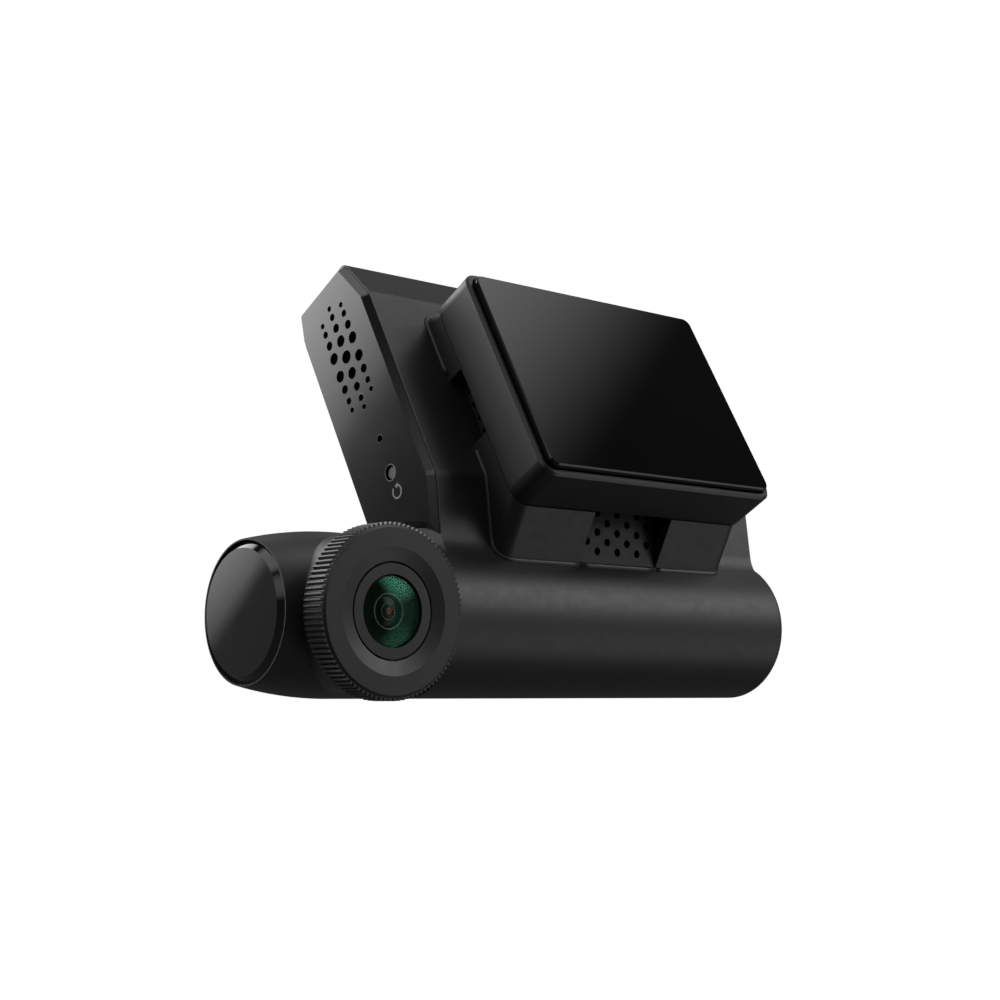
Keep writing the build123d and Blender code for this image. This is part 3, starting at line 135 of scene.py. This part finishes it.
def rgba(colour):
    if isinstance(colour, bpy.types.NodeSocket):
        return colour
    if isinstance(colour, (int, float)):
        colour = (colour, colour, colour)
    return (*colour, 1.0)


def textured_plastic(name, shade, roughness, grain_mm=0.16, depth_mm=0.006, specular=0.5):
    """Moulded plastic with a fine spark-eroded grain, slightly uneven in colour and gloss."""
    s = Shader(name)
    shade = (shade, shade, shade * 1.03) if isinstance(shade, (int, float)) else shade
    cloud = s.noise(9.0, 3.0)
    low = tuple(c * 0.88 for c in shade)
    high = tuple(c * 1.12 for c in shade)
    s.set(Base_Color=s.blend(s.spread(cloud, 0, 1), low, high))
    s.set(Roughness=s.spread(s.noise(1.3, 3.0), roughness - 0.03, roughness + 0.03))
    s.set(Normal=s.bump(s.noise(grain_mm, 2.0), 0.35, depth_mm))
    s.set(Specular_IOR_Level=specular)
    return s.material


def piano_black(name, shade=0.004, roughness=0.05):
    """Polished black plastic under a hard clear coat, with the faint waviness of a moulding."""
    s = Shader(name)
    shade = (shade, shade, shade) if isinstance(shade, (int, float)) else shade
    s.set(Base_Color=s.blend(s.spread(s.noise(12.0), 0, 1), shade, tuple(c * 1.3 for c in shade)))
    s.set(Roughness=s.spread(s.noise(6.0, 4.0), roughness, roughness + 0.02))
    s.set(Normal=s.bump(s.noise(7.0, 1.0), 0.05, 0.02))
    s.set(Coat_Weight=0.4, Coat_Roughness=0.03)
    return s.material


def metal(name, shade, roughness, grain_mm=0.3):
    """Plain or plated metal with a fine brushed unevenness."""
    s = Shader(name)
    cloud = s.spread(s.noise(4.0, 4.0), 0, 1)
    s.set(Base_Color=s.blend(cloud, tuple(c * 0.85 for c in shade), shade), Metallic=1.0)
    s.set(Roughness=s.spread(s.noise(grain_mm, 3.0), roughness - 0.06, roughness + 0.08))
    s.set(Normal=s.bump(s.noise(grain_mm, 2.0), 0.15, 0.004))
    return s.material


def circuit_board(name):
    """Green solder mask with darker copper tracks under it."""
    s = Shader(name)
    cells = s.add("ShaderNodeTexVoronoi", {"Vector": s.place(), "Scale": 700.0}, distance="MANHATTAN")
    tracks = s.spread(cells.outputs["Distance"], 0, 1, 0.1, 0.16)
    s.set(Base_Color=s.blend(tracks, (0.03, 0.16, 0.07), (0.01, 0.08, 0.035)))
    s.set(Roughness=s.spread(s.noise(2.0), 0.28, 0.4))
    s.set(Normal=s.bump(tracks, 0.2, 0.02))
    return s.material


def screen_glass(name):
    """Blacked-out cover glass with the faint lighter field of the panel behind it."""
    s = Shader(name)
    s.set(Base_Color=s.blend(s.spread(s.noise(25.0, 1.0), 0, 1), 0.0025, 0.0035))
    s.set(Roughness=s.spread(s.noise(8.0, 3.0), 0.03, 0.045))
    s.set(Specular_IOR_Level=0.45)
    s.set(Normal=s.bump(s.noise(14.0, 1.0), 0.03, 0.02))
    return s.material


def coated_lens(name):
    """Front element: dark see-through glass whose coating reflects green."""
    s = Shader(name)
    s.set(Base_Color=s.blend(s.spread(s.noise(3.0), 0, 1), (0.003, 0.004, 0.002), (0.004, 0.006, 0.003)))
    s.set(Alpha=0.3, IOR=1.5, Roughness=s.spread(s.noise(2.0), 0.006, 0.014))
    s.set(Specular_IOR_Level=1.0, Specular_Tint=(0.12, 0.85, 0.5, 1.0))
    return s.material


BLACK_BODY = textured_plastic("housing_black", 0.013, 0.43)
BLACK_HEAD = textured_plastic("head_black", 0.013, 0.43)
BLACK_PLINTH = textured_plastic("plinth_black", 0.012, 0.46)
BLACK_GRILLE = textured_plastic("grille_black", 0.007, 0.55)
BLACK_SCREEN = textured_plastic("screen_frame_black", 0.012, 0.36, grain_mm=0.1, depth_mm=0.003)
BLACK_RING = textured_plastic("ring_black", 0.016, 0.38, grain_mm=0.1, depth_mm=0.004)
BLACK_BEZEL = textured_plastic("bezel_black", 0.014, 0.4, grain_mm=0.1, depth_mm=0.003)
BLACK_BRACKET = textured_plastic("bracket_black", 0.014, 0.5, grain_mm=0.22)
PIANO = piano_black("piano_black", roughness=0.11)
CAP_PIANO = piano_black("cap_piano_black", roughness=0.02)
KEY_GLOSS = piano_black("key_black", 0.01, 0.16)
KEY_GREY = textured_plastic("key_grey", 0.09, 0.45)
GLASS_BLACK = screen_glass("screen_glass")
LENS_GLASS = coated_lens("lens_coated")
CHIP = textured_plastic("chip_black", 0.03, 0.5)
PANEL = textured_plastic("panel_black", 0.02, 0.3)
RIBBON = textured_plastic("ribbon_amber", (0.35, 0.15, 0.02), 0.35)
BOARD = circuit_board("circuit_board")
ALUMINIUM = metal("sink_aluminium", (0.62, 0.62, 0.64), 0.4)
STEEL = metal("plated_steel", (0.5, 0.5, 0.52), 0.3)
TUBE = metal("lens_tube", (0.02, 0.02, 0.02), 0.4)
CERAMIC = textured_plastic("ceramic", (0.5, 0.43, 0.33), 0.6)
CONE = textured_plastic("speaker_cone", 0.015, 0.7)
BATTERY = textured_plastic("battery_wrap", (0.03, 0.06, 0.2), 0.3)
ACETAL = textured_plastic("acetal", (0.5, 0.49, 0.46), 0.4)
RUBBER = textured_plastic("seal_rubber", 0.015, 0.6)
FOAM = textured_plastic("pad_foam", 0.02, 0.8, grain_mm=0.5, depth_mm=0.08)
SENSOR = piano_black("image_sensor", 0.03, 0.1)
BLACK_RIM = textured_plastic("plinth_rim_black", 0.02, 0.4)
HOLE_RIM = piano_black("hole_rim", 0.06, 0.2)
PRINT = textured_plastic("print_grey", 0.28, 0.5)
BAFFLE = textured_plastic("lens_baffle", (0.010, 0.012, 0.005), 0.6, depth_mm=0.001, specular=0.05)
# pale colour below: a painted highlight of the second element's rim
PAINTED_HIGHLIGHT_RING = textured_plastic("ring_painted_highlight", (0.55, 0.58, 0.52), 0.3)
# pink ring and red disc: painted reflections of the aperture inside the lens, not their own colour
IRIS_RING_PAINTED_REFLECTION = textured_plastic("iris_ring_painted_reflection", (0.5, 0.34, 0.3), 0.3)
IRIS_PAINTED_REFLECTION = textured_plastic("iris_painted_reflection", (0.75, 0.12, 0.1), 0.2)
SECOND = textured_plastic("second_element", (0.003, 0.008, 0.004), 0.12, depth_mm=0.0, specular=0.3)

FINISHES = {
    "main_housing": BLACK_BODY, "back_cover": BLACK_BODY,
    "display_plinth": BLACK_PLINTH, "head_shell": BLACK_HEAD,
    "bottom_grille": BLACK_GRILLE, "left_grille": BLACK_GRILLE, "right_grille": BLACK_GRILLE,
    "left_side_plate": PIANO, "right_side_plate": PIANO, "head_end_cap": CAP_PIANO,
    "display_housing": BLACK_SCREEN, "display_back_plate": BLACK_SCREEN, "display_glass": GLASS_BLACK,
    "lcd_module": PANEL, "board_chips": CHIP, "speaker_frame": CHIP, "microphone": CHIP, "memory_card": CHIP,
    "screen_ribbon": RIBBON, "main_board": BOARD, "sensor_board": BOARD, "heat_sink": ALUMINIUM,
    "positioning_antenna": CERAMIC, "speaker_cone": CONE, "cover_screws": STEEL, "usb_socket": STEEL,
    "card_socket": STEEL, "key_switches": STEEL, "hub_clip": STEEL, "backup_battery": BATTERY,
    "battery_cradle": ACETAL, "bearing_sleeve": ACETAL, "friction_seal": RUBBER, "adhesive_pad": FOAM,
    "windscreen_bracket": BLACK_BRACKET, "lens_ring": BLACK_RING, "lens_bezel": BLACK_BEZEL,
    "lens_glass": LENS_GLASS, "lens_elements": LENS_GLASS, "lens_barrel": TUBE, "image_sensor": SENSOR,
    "reset_button": KEY_GREY, "power_button": KEY_GLOSS, "event_button": KEY_GLOSS,
}
for node_name, finish in FINISHES.items():
    mesh = NODES[node_name].data
    mesh.materials.clear()
    mesh.materials.append(finish)


# ================ detailed pieces ================
BARREL_R = (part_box("head_shell")[1][2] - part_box("head_shell")[0][2]) / (2 * MM)
PLATE_FACE_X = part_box("left_side_plate")[0][0] / MM
PLINTH_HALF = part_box("display_plinth")[1][0] / MM
VENT_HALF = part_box("bottom_grille")[1][0] / MM
FACE_N = 14.0               # slab's cabin face
FACE_END_T = 60.0           # past the slab's top
BEND_T = 15.6               # below this the face turns towards the vertical
FACET_SLOPE = math.tan(math.radians(22.25))
ROOT_R = 5.0                # concave blend of slab into barrel
RIM_ANGLE = 70.95           # degrees round the barrel to the plinth's lower rim
PLINTH_TOP_T = 44.85        # plinth's upper rim on the slab
TINY_R = 0.0005             # stands for the axis in a turned profile


def slab_place(node):
    """The way up the slab and the height of the middle of a node, in millimetres."""
    low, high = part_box(node)
    middle = (Vector(low) + Vector(high)) / 2 - Vector((0, AXIS_Y, AXIS_Z))
    return middle.dot(UP) / MM, middle.dot(OUT) / MM


def add_piece(name, mesh, finish, body, smooth=True):
    for face in mesh.polygons:
        face.use_smooth = smooth
    mesh.materials.append(finish)
    piece = bpy.data.objects.new(name, mesh)
    bpy.context.scene.collection.objects.link(piece)
    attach(piece, body)
    return piece


def mesh_of(name, vertices, faces):
    mesh = bpy.data.meshes.new(name)
    mesh.from_pydata([tuple(v) for v in vertices], [], faces)
    work = bmesh.new()
    work.from_mesh(mesh)
    bmesh.ops.remove_doubles(work, verts=work.verts, dist=1e-7)
    bmesh.ops.recalc_face_normals(work, faces=work.faces)
    work.to_mesh(mesh)
    work.free()
    return mesh


def join_meshes(name, meshes):
    work = bmesh.new()
    for mesh in meshes:
        work.from_mesh(mesh)
    joined = bpy.data.meshes.new(name)
    work.to_mesh(joined)
    work.free()
    return joined


def lathe(name, profile, centre, axis, steps=96):
    """Turn a closed profile of (radius, height) in millimetres about an axis through a point."""
    axis = Vector(axis).normalized()
    side = axis.orthogonal().normalized()
    other = axis.cross(side)
    count = len(profile)
    vertices, faces = [], []
    for step in range(steps):
        angle = 2 * math.pi * step / steps
        spoke = side * math.cos(angle) + other * math.sin(angle)
        vertices += [Vector(centre) + spoke * (r * MM) + axis * (h * MM) for r, h in profile]
        for k in range(count):
            here, ahead = step * count, ((step + 1) % steps) * count
            faces.append((here + k, here + (k + 1) % count, ahead + (k + 1) % count, ahead + k))
    return mesh_of(name, vertices, faces)


def tube(name, points, radius_mm, sides=12):
    """A round bead along a list of points, closed at both ends."""
    vertices, faces = [], []
    count = len(points)
    for k, point in enumerate(points):
        before, after = points[max(k - 1, 0)], points[min(k + 1, count - 1)]
        along = (after - before).normalized()
        side = along.cross(OUT).normalized()
        top = side.cross(along)
        for s in range(sides):
            angle = 2 * math.pi * s / sides
            vertices.append(point + (side * math.cos(angle) + top * math.sin(angle)) * (radius_mm * MM))
        if k:
            for s in range(sides):
                a, b = (k - 1) * sides + s, (k - 1) * sides + (s + 1) % sides
                faces.append((a, b, b + sides, a + sides))
    faces.append(tuple(range(sides)))
    faces.append(tuple(reversed(range((count - 1) * sides, count * sides))))
    return mesh_of(name, vertices, faces)


# ---- the plinth's rim: a soft bead along its foot ----
def housing_profile():
    """Points (t, n) up the housing's cabin side, from the plinth's lower rim on the barrel."""
    rim = math.radians(RIM_ANGLE)
    slant = math.atan(FACET_SLOPE)
    reach = BARREL_R + ROOT_R
    offset = FACE_N * math.cos(slant) - BEND_T * math.sin(slant) + ROOT_R
    # the blend's centre is ROOT_R above the facet and above the barrel
    angle = math.pi / 2 + slant - math.acos(offset / reach)
    centre = (reach * math.cos(angle), reach * math.sin(angle))
    start, end = angle + math.pi, slant + math.pi * 1.5
    blend_steps, facet_steps, face_step = 8, 16, 0.5
    profile = [(BARREL_R * math.cos(rim), BARREL_R * math.sin(rim))]
    for k in range(blend_steps + 1):
        a = start + (end - start) * k / blend_steps
        profile.append((centre[0] + ROOT_R * math.cos(a), centre[1] + ROOT_R * math.sin(a)))
    facet_t = profile[blend_steps][0]       # the facet is divided from the blend's last point but one
    for k in range(1, facet_steps + 1):
        t = facet_t + (BEND_T - facet_t) * k / facet_steps
        profile.append((t, FACE_N - (BEND_T - t) * FACET_SLOPE))
    t = BEND_T
    while t < FACE_END_T:
        t += face_step
        profile.append((t, FACE_N))
    return profile


PROFILE = housing_profile()
LENGTHS = [0.0]
for (t0, n0), (t1, n1) in zip(PROFILE, PROFILE[1:]):
    LENGTHS.append(LENGTHS[-1] + math.hypot(t1 - t0, n1 - n0))


def on_housing(x, length):
    """The point of the housing's surface at X, that length above the plinth's lower rim."""
    length = max(length, 0.0)
    k = max(i for i, total in enumerate(LENGTHS[:-1]) if total <= length)
    share = (length - LENGTHS[k]) / (LENGTHS[k + 1] - LENGTHS[k])
    t = PROFILE[k][0] + (PROFILE[k + 1][0] - PROFILE[k][0]) * share
    n = PROFILE[k][1] + (PROFILE[k + 1][1] - PROFILE[k][1]) * share
    return slab_point(x, t, n)


def height_on_housing(t):
    """The length along the housing's surface at its first profile point at or past t."""
    return next(total for (place, _), total in zip(PROFILE, LENGTHS) if place >= t)


def box_range(node):
    """The lowest and highest way up the slab of the corners of a node's box, in millimetres."""
    low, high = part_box(node)
    corners = [(0, y - AXIS_Y, z - AXIS_Z) for y in (low[1], high[1]) for z in (low[2], high[2])]
    spans = sorted(Vector(corner).dot(UP) for corner in corners)
    return spans[0] / MM, spans[-1] / MM


BEAD_R = 0.42
LOWER_CORNER_R, UPPER_CORNER_R = 2.6, 1.4
VENT_GAP = 0.25             # between the plinth's rim and the bottom grille's own


def lower_rim(side, low):
    """Down one side of the plinth, round its lower corner and in to the bottom grille."""
    down_steps, turn_steps, across_steps = 24, 12, 12
    corner = LOWER_CORNER_R
    edge = side * PLINTH_HALF
    path = [on_housing(edge, low - (low - corner) * k / down_steps) for k in range(down_steps + 1)]
    for k in range(1, turn_steps + 1):
        a = math.pi / 2 * k / turn_steps
        path.append(on_housing(edge - side * corner * (1 - math.cos(a)), corner * (1 - math.sin(a))))
    start, stop = edge - side * corner, side * (VENT_HALF + VENT_GAP)
    path += [on_housing(start + (stop - start) * k / across_steps, 0) for k in range(1, across_steps + 1)]
    return path


def upper_rim(high):
    """Up the plinth's left side, across its top and down its right side."""
    up_steps, turn_steps, across_steps = 10, 8, 30
    corner = UPPER_CORNER_R
    top = height_on_housing(PLINTH_TOP_T)
    rise = top - corner - high
    path = [on_housing(-PLINTH_HALF, high + rise * k / up_steps) for k in range(up_steps + 1)]
    for k in range(1, turn_steps + 1):
        a = math.pi / 2 * k / turn_steps
        path.append(on_housing(-PLINTH_HALF + corner * (1 - math.cos(a)), top - corner * (1 - math.sin(a))))
    left_side = list(path)
    half = PLINTH_HALF - corner
    path += [on_housing(-half + 2 * half * k / across_steps, top) for k in range(1, across_steps)]
    path += [Vector((-p.x, p.y, p.z)) for p in reversed(left_side)]
    return path


def make_plinth_rim():
    low, high = (height_on_housing(t) for t in box_range("left_grille"))
    for side, name in ((-1, "plinth_rim_left"), (1, "plinth_rim_right")):
        add_piece(name, tube(name, lower_rim(side, low), BEAD_R), BLACK_RIM, "housing")
    steps = 8
    path = [on_housing(-VENT_HALF + (2 * VENT_HALF) * k / steps, 0) for k in range(steps + 1)]
    add_piece("grille_rim", tube("grille_rim", path, BEAD_R), BLACK_RIM, "housing")
    name = "plinth_rim_top"
    add_piece(name, tube(name, upper_rim(high), BEAD_R), BLACK_RIM, "housing")


# ---- print and hole rims on the left plate ----
SPEAKER_ROW = 2.66          # between columns of holes
SPEAKER_HOLES = [(0.0, 0.0, 1.03)]
for way in (-1, 1):
    SPEAKER_HOLES += [(way * t, 0.0, r) for t, r in ((3.02, 0.92), (5.53, 0.7), (7.64, 0.55), (9.28, 0.43))]
    for row in (-SPEAKER_ROW, SPEAKER_ROW):
        SPEAKER_HOLES += [
            (way * t, row, r) for t, r in ((1.68, 0.92), (4.16, 0.7), (6.3, 0.55), (7.97, 0.43))
        ]
RIM_SUNK = -0.05            # foot of a hole's rim, under the plate's face
SOUND_RIM = (0.1, 0.02)     # width and height of the speaker holes' rims
MIC_HOLE_R, MIC_RIM = 0.6, (0.12, 0.02)
RESET_HOLE_R, RESET_RIM = 1.16, (0.16, 0.04)
ICON_DROP = 3.3             # from the reset hole down to its sign
ICON_R, ICON_LINE, ICON_SKIN = 0.95, 0.13, 0.02
ICON_OPENING = math.radians(60)
ARROW_HALF, ARROW_REACH, ARROW_BACK = 0.42, 0.62, 0.06


def hole_rim(name, t, n, radius, width, height):
    """A thin rounded ring round a hole in the left plate's face."""
    profile = [(radius, RIM_SUNK), (radius, height * 0.6), (radius + width * 0.4, height)]
    profile.append((radius + width, RIM_SUNK))
    return lathe(name, profile, slab_point(PLATE_FACE_X, t, n), (-1, 0, 0), 40)


def make_hole_rims():
    t0, n0 = slab_place("speaker_frame")
    rims = [hole_rim("rim", t0 + t, n0 + n, r, *SOUND_RIM) for t, n, r in SPEAKER_HOLES]
    rims.append(hole_rim("rim", *slab_place("microphone"), MIC_HOLE_R, *MIC_RIM))
    name = "speaker_hole_rims"
    add_piece(name, join_meshes(name, rims), HOLE_RIM, "housing")
    name = "reset_hole_rim"
    mesh = hole_rim(name, *slab_place("reset_button"), RESET_HOLE_R, *RESET_RIM)
    add_piece(name, mesh, PRINT, "housing")


def make_reset_icon():
    """A turning arrow, the common sign for starting again, printed below the reset hole."""
    reset_t, icon_n = slab_place("reset_button")
    icon_t = reset_t - ICON_DROP

    def on_plate(r, angle):
        t, n = icon_t + r * math.cos(angle), icon_n + r * math.sin(angle)
        return slab_point(PLATE_FACE_X - ICON_SKIN, t, n)

    vertices, faces = [], []
    steps, first = 28, ICON_OPENING / 2
    for k in range(steps + 1):
        a = first + (2 * math.pi - ICON_OPENING) * k / steps
        vertices += [on_plate(r, a) for r in (ICON_R - ICON_LINE, ICON_R + ICON_LINE)]
        if k:
            b = 2 * (k - 1)
            faces.append((b, b + 1, b + 3, b + 2))
    base = len(vertices)
    vertices.append(on_plate(ICON_R, first - ARROW_REACH))
    vertices += [on_plate(ICON_R + side * ARROW_HALF, first + ARROW_BACK) for side in (-1, 1)]
    faces.append((base, base + 1, base + 2))
    mesh = mesh_of("reset_icon", vertices, faces)
    icon = add_piece("reset_icon", mesh, PRINT, "housing", smooth=False)
    skin = icon.modifiers.new("skin", "SOLIDIFY")
    skin.thickness = ICON_SKIN * MM
    skin.offset = 0


# ---- the lens behind its front glass ----
GLASS_R = (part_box("lens_glass")[1][0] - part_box("lens_glass")[0][0]) / (2 * MM)
GLASS_APEX = (AXIS_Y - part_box("lens_glass")[0][1]) / MM
GLASS_RIM = (AXIS_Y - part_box("lens_bezel")[0][1]) / MM - 0.2    # a little behind the bezel's face
GLASS_THICK, GLASS_TAPER = 0.45, 0.002
BAFFLE_D = GLASS_RIM - 0.85         # the stepped floor behind the front glass
SECOND_R, SECOND_RISE, SECOND_SUNK, SECOND_BACK = 2.25, 0.5, 0.35, 0.6
# size and place of the thin ring that carries the painted rim highlight
HIGHLIGHT_RING_R, HIGHLIGHT_RING_LINE, HIGHLIGHT_RING_D = 2.28, 0.09, 0.1


def lens_piece(name, profile, finish):
    return add_piece(name, lathe(name, profile, LENS, (0, -1, 0)), finish, "camera_head")


def sphere_radius(radius, rise):
    """The radius of the ball whose cap has that radius and that rise."""
    return (radius**2 + rise**2) / (2 * rise)


def make_front_element():
    ball = sphere_radius(GLASS_R, GLASS_APEX - GLASS_RIM)
    steps = 16

    def dome(k):
        r = GLASS_R * k / steps
        return r, GLASS_APEX - ball + math.sqrt(ball**2 - r * r)

    outer = [dome(k) for k in range(steps + 1)]
    inner = [(dome(k)[0], dome(k)[1] - GLASS_THICK - GLASS_TAPER * k) for k in range(steps, -1, -1)]
    outer[0], inner[-1] = (TINY_R, GLASS_APEX), (TINY_R, GLASS_APEX - GLASS_THICK)
    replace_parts(lens_piece("front_element", outer + inner, LENS_GLASS), "lens_glass")


def make_baffle():
    """Stepped black floor with a thin ring at the second element's edge, whose pale colour is a painted highlight
    of that element's rim.
    """
    outside = GLASS_R - 0.1
    steps = [(outside, 0.3), (outside, -0.5), (2.35, -0.5), (2.35, 0.05), (2.7, 0.05), (2.8, -0.05)]
    steps += [(3.3, -0.02), (3.4, 0.1), (4.0, 0.16), (4.1, 0.3)]
    lens_piece("lens_baffle", [(r, BAFFLE_D + d) for r, d in steps], BAFFLE)
    turns = [2 * math.pi * k / 10 for k in range(10)]
    # the ring's pale colour is a painted highlight of the second element's rim
    ring = [
        (HIGHLIGHT_RING_R + HIGHLIGHT_RING_LINE * math.cos(a), BAFFLE_D + HIGHLIGHT_RING_D + HIGHLIGHT_RING_LINE * math.sin(a))
        for a in turns
    ]
    lens_piece("inner_ring_painted_highlight", ring, PAINTED_HIGHLIGHT_RING)


def make_second_element():
    """The element behind, with the iris ring and the red disc at its middle, both coloured as painted reflections
    of the aperture.
    """
    ball = sphere_radius(SECOND_R, SECOND_RISE)
    top = BAFFLE_D - SECOND_SUNK + SECOND_RISE
    steps = 12
    cap = []
    for k in range(steps + 1):
        r = SECOND_R * k / steps
        cap.append((max(r, TINY_R), top - ball + math.sqrt(ball**2 - r**2)))
    cap += [(SECOND_R, BAFFLE_D - SECOND_BACK), (TINY_R, BAFFLE_D - SECOND_BACK)]
    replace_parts(lens_piece("second_element", cap, SECOND), "lens_elements")
    iris = [(0.98, -0.16), (1.04, -0.06), (1.12, -0.06), (1.16, -0.2)]
    lens_piece("iris_ring_painted_reflection", [(r, top + d) for r, d in iris], IRIS_RING_PAINTED_REFLECTION)
    # red disc: a painted reflection of the aperture; it gives no light
    reflection_disc = [(TINY_R, 0.05), (0.3, 0.03), (0.46, -0.01), (0.5, -0.08), (TINY_R, -0.08)]
    lens_piece("iris_painted_reflection", [(r, top + d) for r, d in reflection_disc], IRIS_PAINTED_REFLECTION)


# ================ floor, light and camera ================
FLOOR_DROP, FLOOR_HALF = 0.045, 6.0     # metres


def make_stage():
    """A white floor that lights itself and shows in no reflection."""
    floor_z = CAD_BOX[0][2] - FLOOR_DROP
    mesh = bpy.data.meshes.new("floor")
    sides = ((-1, -1), (1, -1), (1, 1), (-1, 1))
    corners = [(x * FLOOR_HALF, y * FLOOR_HALF, floor_z) for x, y in sides]
    mesh.from_pydata(corners, [], [(0, 1, 2, 3)])
    floor = bpy.data.objects.new("floor", mesh)
    bpy.context.scene.collection.objects.link(floor)
    s = Shader("pale_floor")
    s.set(Base_Color=s.blend(s.noise(200.0), 0.8, 0.82), Roughness=0.9, Specular_IOR_Level=0.0)
    s.set(Emission_Color=(1.0, 1.0, 1.0, 1.0), Emission_Strength=1.0)
    mesh.materials.append(s.material)
    floor.visible_glossy = False
    floor.visible_diffuse = False


def heading(degrees, elevation):
    """The direction at that heading from +Y towards +X and that elevation."""
    h, e = math.radians(degrees), math.radians(elevation)
    return (math.cos(e) * math.sin(h), math.cos(e) * math.cos(h), math.sin(e))


def make_light():
    """A room of soft boxes: each is a soft-edged patch of the sky, up to as strong as its last number."""
    world = bpy.data.worlds.new("studio")
    bpy.context.scene.world = world
    world.use_nodes = True
    nodes, links = world.node_tree.nodes, world.node_tree.links
    nodes.clear()
    way = nodes.new("ShaderNodeTexCoord").outputs["Generated"]

    def math_node(kind, first, second):
        node = nodes.new("ShaderNodeMath")
        node.operation = kind
        for socket, value in zip(node.inputs, (first, second)):
            if isinstance(value, bpy.types.NodeSocket):
                links.new(value, socket)
            else:
                socket.default_value = value
        return node.outputs[0]

    def patch(axis, start, end, low=0.0, high=1.0, kind="SMOOTHSTEP"):
        """low to high as a direction's cosine with the axis goes from start to end."""
        dot = nodes.new("ShaderNodeVectorMath")
        dot.operation = "DOT_PRODUCT"
        links.new(way, dot.inputs[0])
        dot.inputs[1].default_value = axis
        ramp = nodes.new("ShaderNodeMapRange")
        ramp.interpolation_type = kind
        for key, value in (("From Min", start), ("From Max", end), ("To Min", low), ("To Max", high)):
            ramp.inputs[key].default_value = value
        links.new(dot.outputs["Value"], ramp.inputs["Value"])
        return ramp.outputs[0]

    def both(*factors):
        total = factors[0]
        for factor in factors[1:]:
            total = math_node("MULTIPLY", total, factor)
        return total

    edge = (0.735, 0.437, 0.518)    # normal of the left box's slanting lower edge
    boxes = [
        # left and behind: one crisp slanting edge, brighter away from it
        both(patch(edge, -0.003, 0.005, kind="LINEAR"), patch(edge, 0.0, 0.06, 0.7, 3.3, "LINEAR"),
             patch(heading(-38, 22), 0.9, 0.965)),
        # further round to the left, and higher
        patch(heading(-56, 26), 0.95, 0.985, 0.0, 3.4),
        patch(heading(-70, 50), 0.9, 0.97, 0.0, 1.2),
        # faint, under the slanting edge
        patch(heading(-31, 1), 0.993, 0.998, 0.0, 0.09),
        # behind, above the camera head
        patch(heading(-6, 33), 0.93, 0.975, 0.0, 2.4),
        # overhead
        patch(heading(0, 90), 0.85, 0.97, 0.0, 0.4),
        patch(heading(110, 68), 0.93, 0.99, 0.0, 0.7),
        patch(heading(20, 50), 0.9, 0.98, 0.0, 0.45),
        patch(heading(-150, 50), 0.9, 0.98, 0.0, 0.35),
        # where the screen's glass mirrors it in its upper corner
        both(patch((0, 0, 1), 0.67, 0.76, 0.0, 1.3), patch(heading(105, 52), 0.93, 0.98)),
        # right, at the height of the screen
        patch(heading(132, 28), 0.93, 0.99, 0.0, 3.4),
        patch(heading(134, 6), 0.93, 0.99, 0.0, 0.35),
        # low on the right, as a white table would give back
        patch(heading(133, -24), 0.93, 0.99, 0.0, 1.0),
        # in front on the left
        patch(heading(-128, 34), 0.93, 0.99, 0.0, 0.8),
        # the room itself, lighter below as over a white table
        patch((0, 0, 1), -1.0, 1.0, 0.11, 0.015, "LINEAR"),
    ]
    total = boxes[0]
    for box in boxes[1:]:
        total = math_node("ADD", total, box)
    room = nodes.new("ShaderNodeBackground")
    links.new(total, room.inputs["Strength"])
    seen = nodes.new("ShaderNodeBackground")
    for shader in (room, seen):
        shader.inputs["Color"].default_value = (1, 1, 1, 1)
    choice = nodes.new("ShaderNodeMixShader")
    path = nodes.new("ShaderNodeLightPath")
    out = nodes.new("ShaderNodeOutputWorld")
    links.new(path.outputs["Is Camera Ray"], choice.inputs[0])
    links.new(room.outputs[0], choice.inputs[1])
    links.new(seen.outputs[0], choice.inputs[2])
    links.new(choice.outputs[0], out.inputs["Surface"])


CAMERA_HEADING = 41.283         # degrees from +Y towards +X
CAMERA_PITCH = 6.52             # looking up
CAMERA_LENS = 60.93             # mm on a 36 mm sensor
CAMERA_FROM_END = Vector((-0.21537, -0.18673, -0.01046))    # from the middle of the barrel's closed end


def make_camera():
    camera = bpy.data.cameras.new("camera")
    camera.lens = CAMERA_LENS
    camera.clip_start = 0.005
    eye = bpy.data.objects.new("camera", camera)
    eye.location = Vector((BARREL_END, AXIS_Y, AXIS_Z)) + CAMERA_FROM_END
    eye.rotation_euler = (math.radians(90 + CAMERA_PITCH), 0, math.radians(-CAMERA_HEADING))
    bpy.context.scene.collection.objects.link(eye)
    bpy.context.scene.camera = eye


make_plinth_rim()
make_hole_rims()
make_reset_icon()
make_front_element()
make_baffle()
make_second_element()
make_stage()
make_light()
make_camera()
bpy.context.scene.view_settings.view_transform = "Standard"
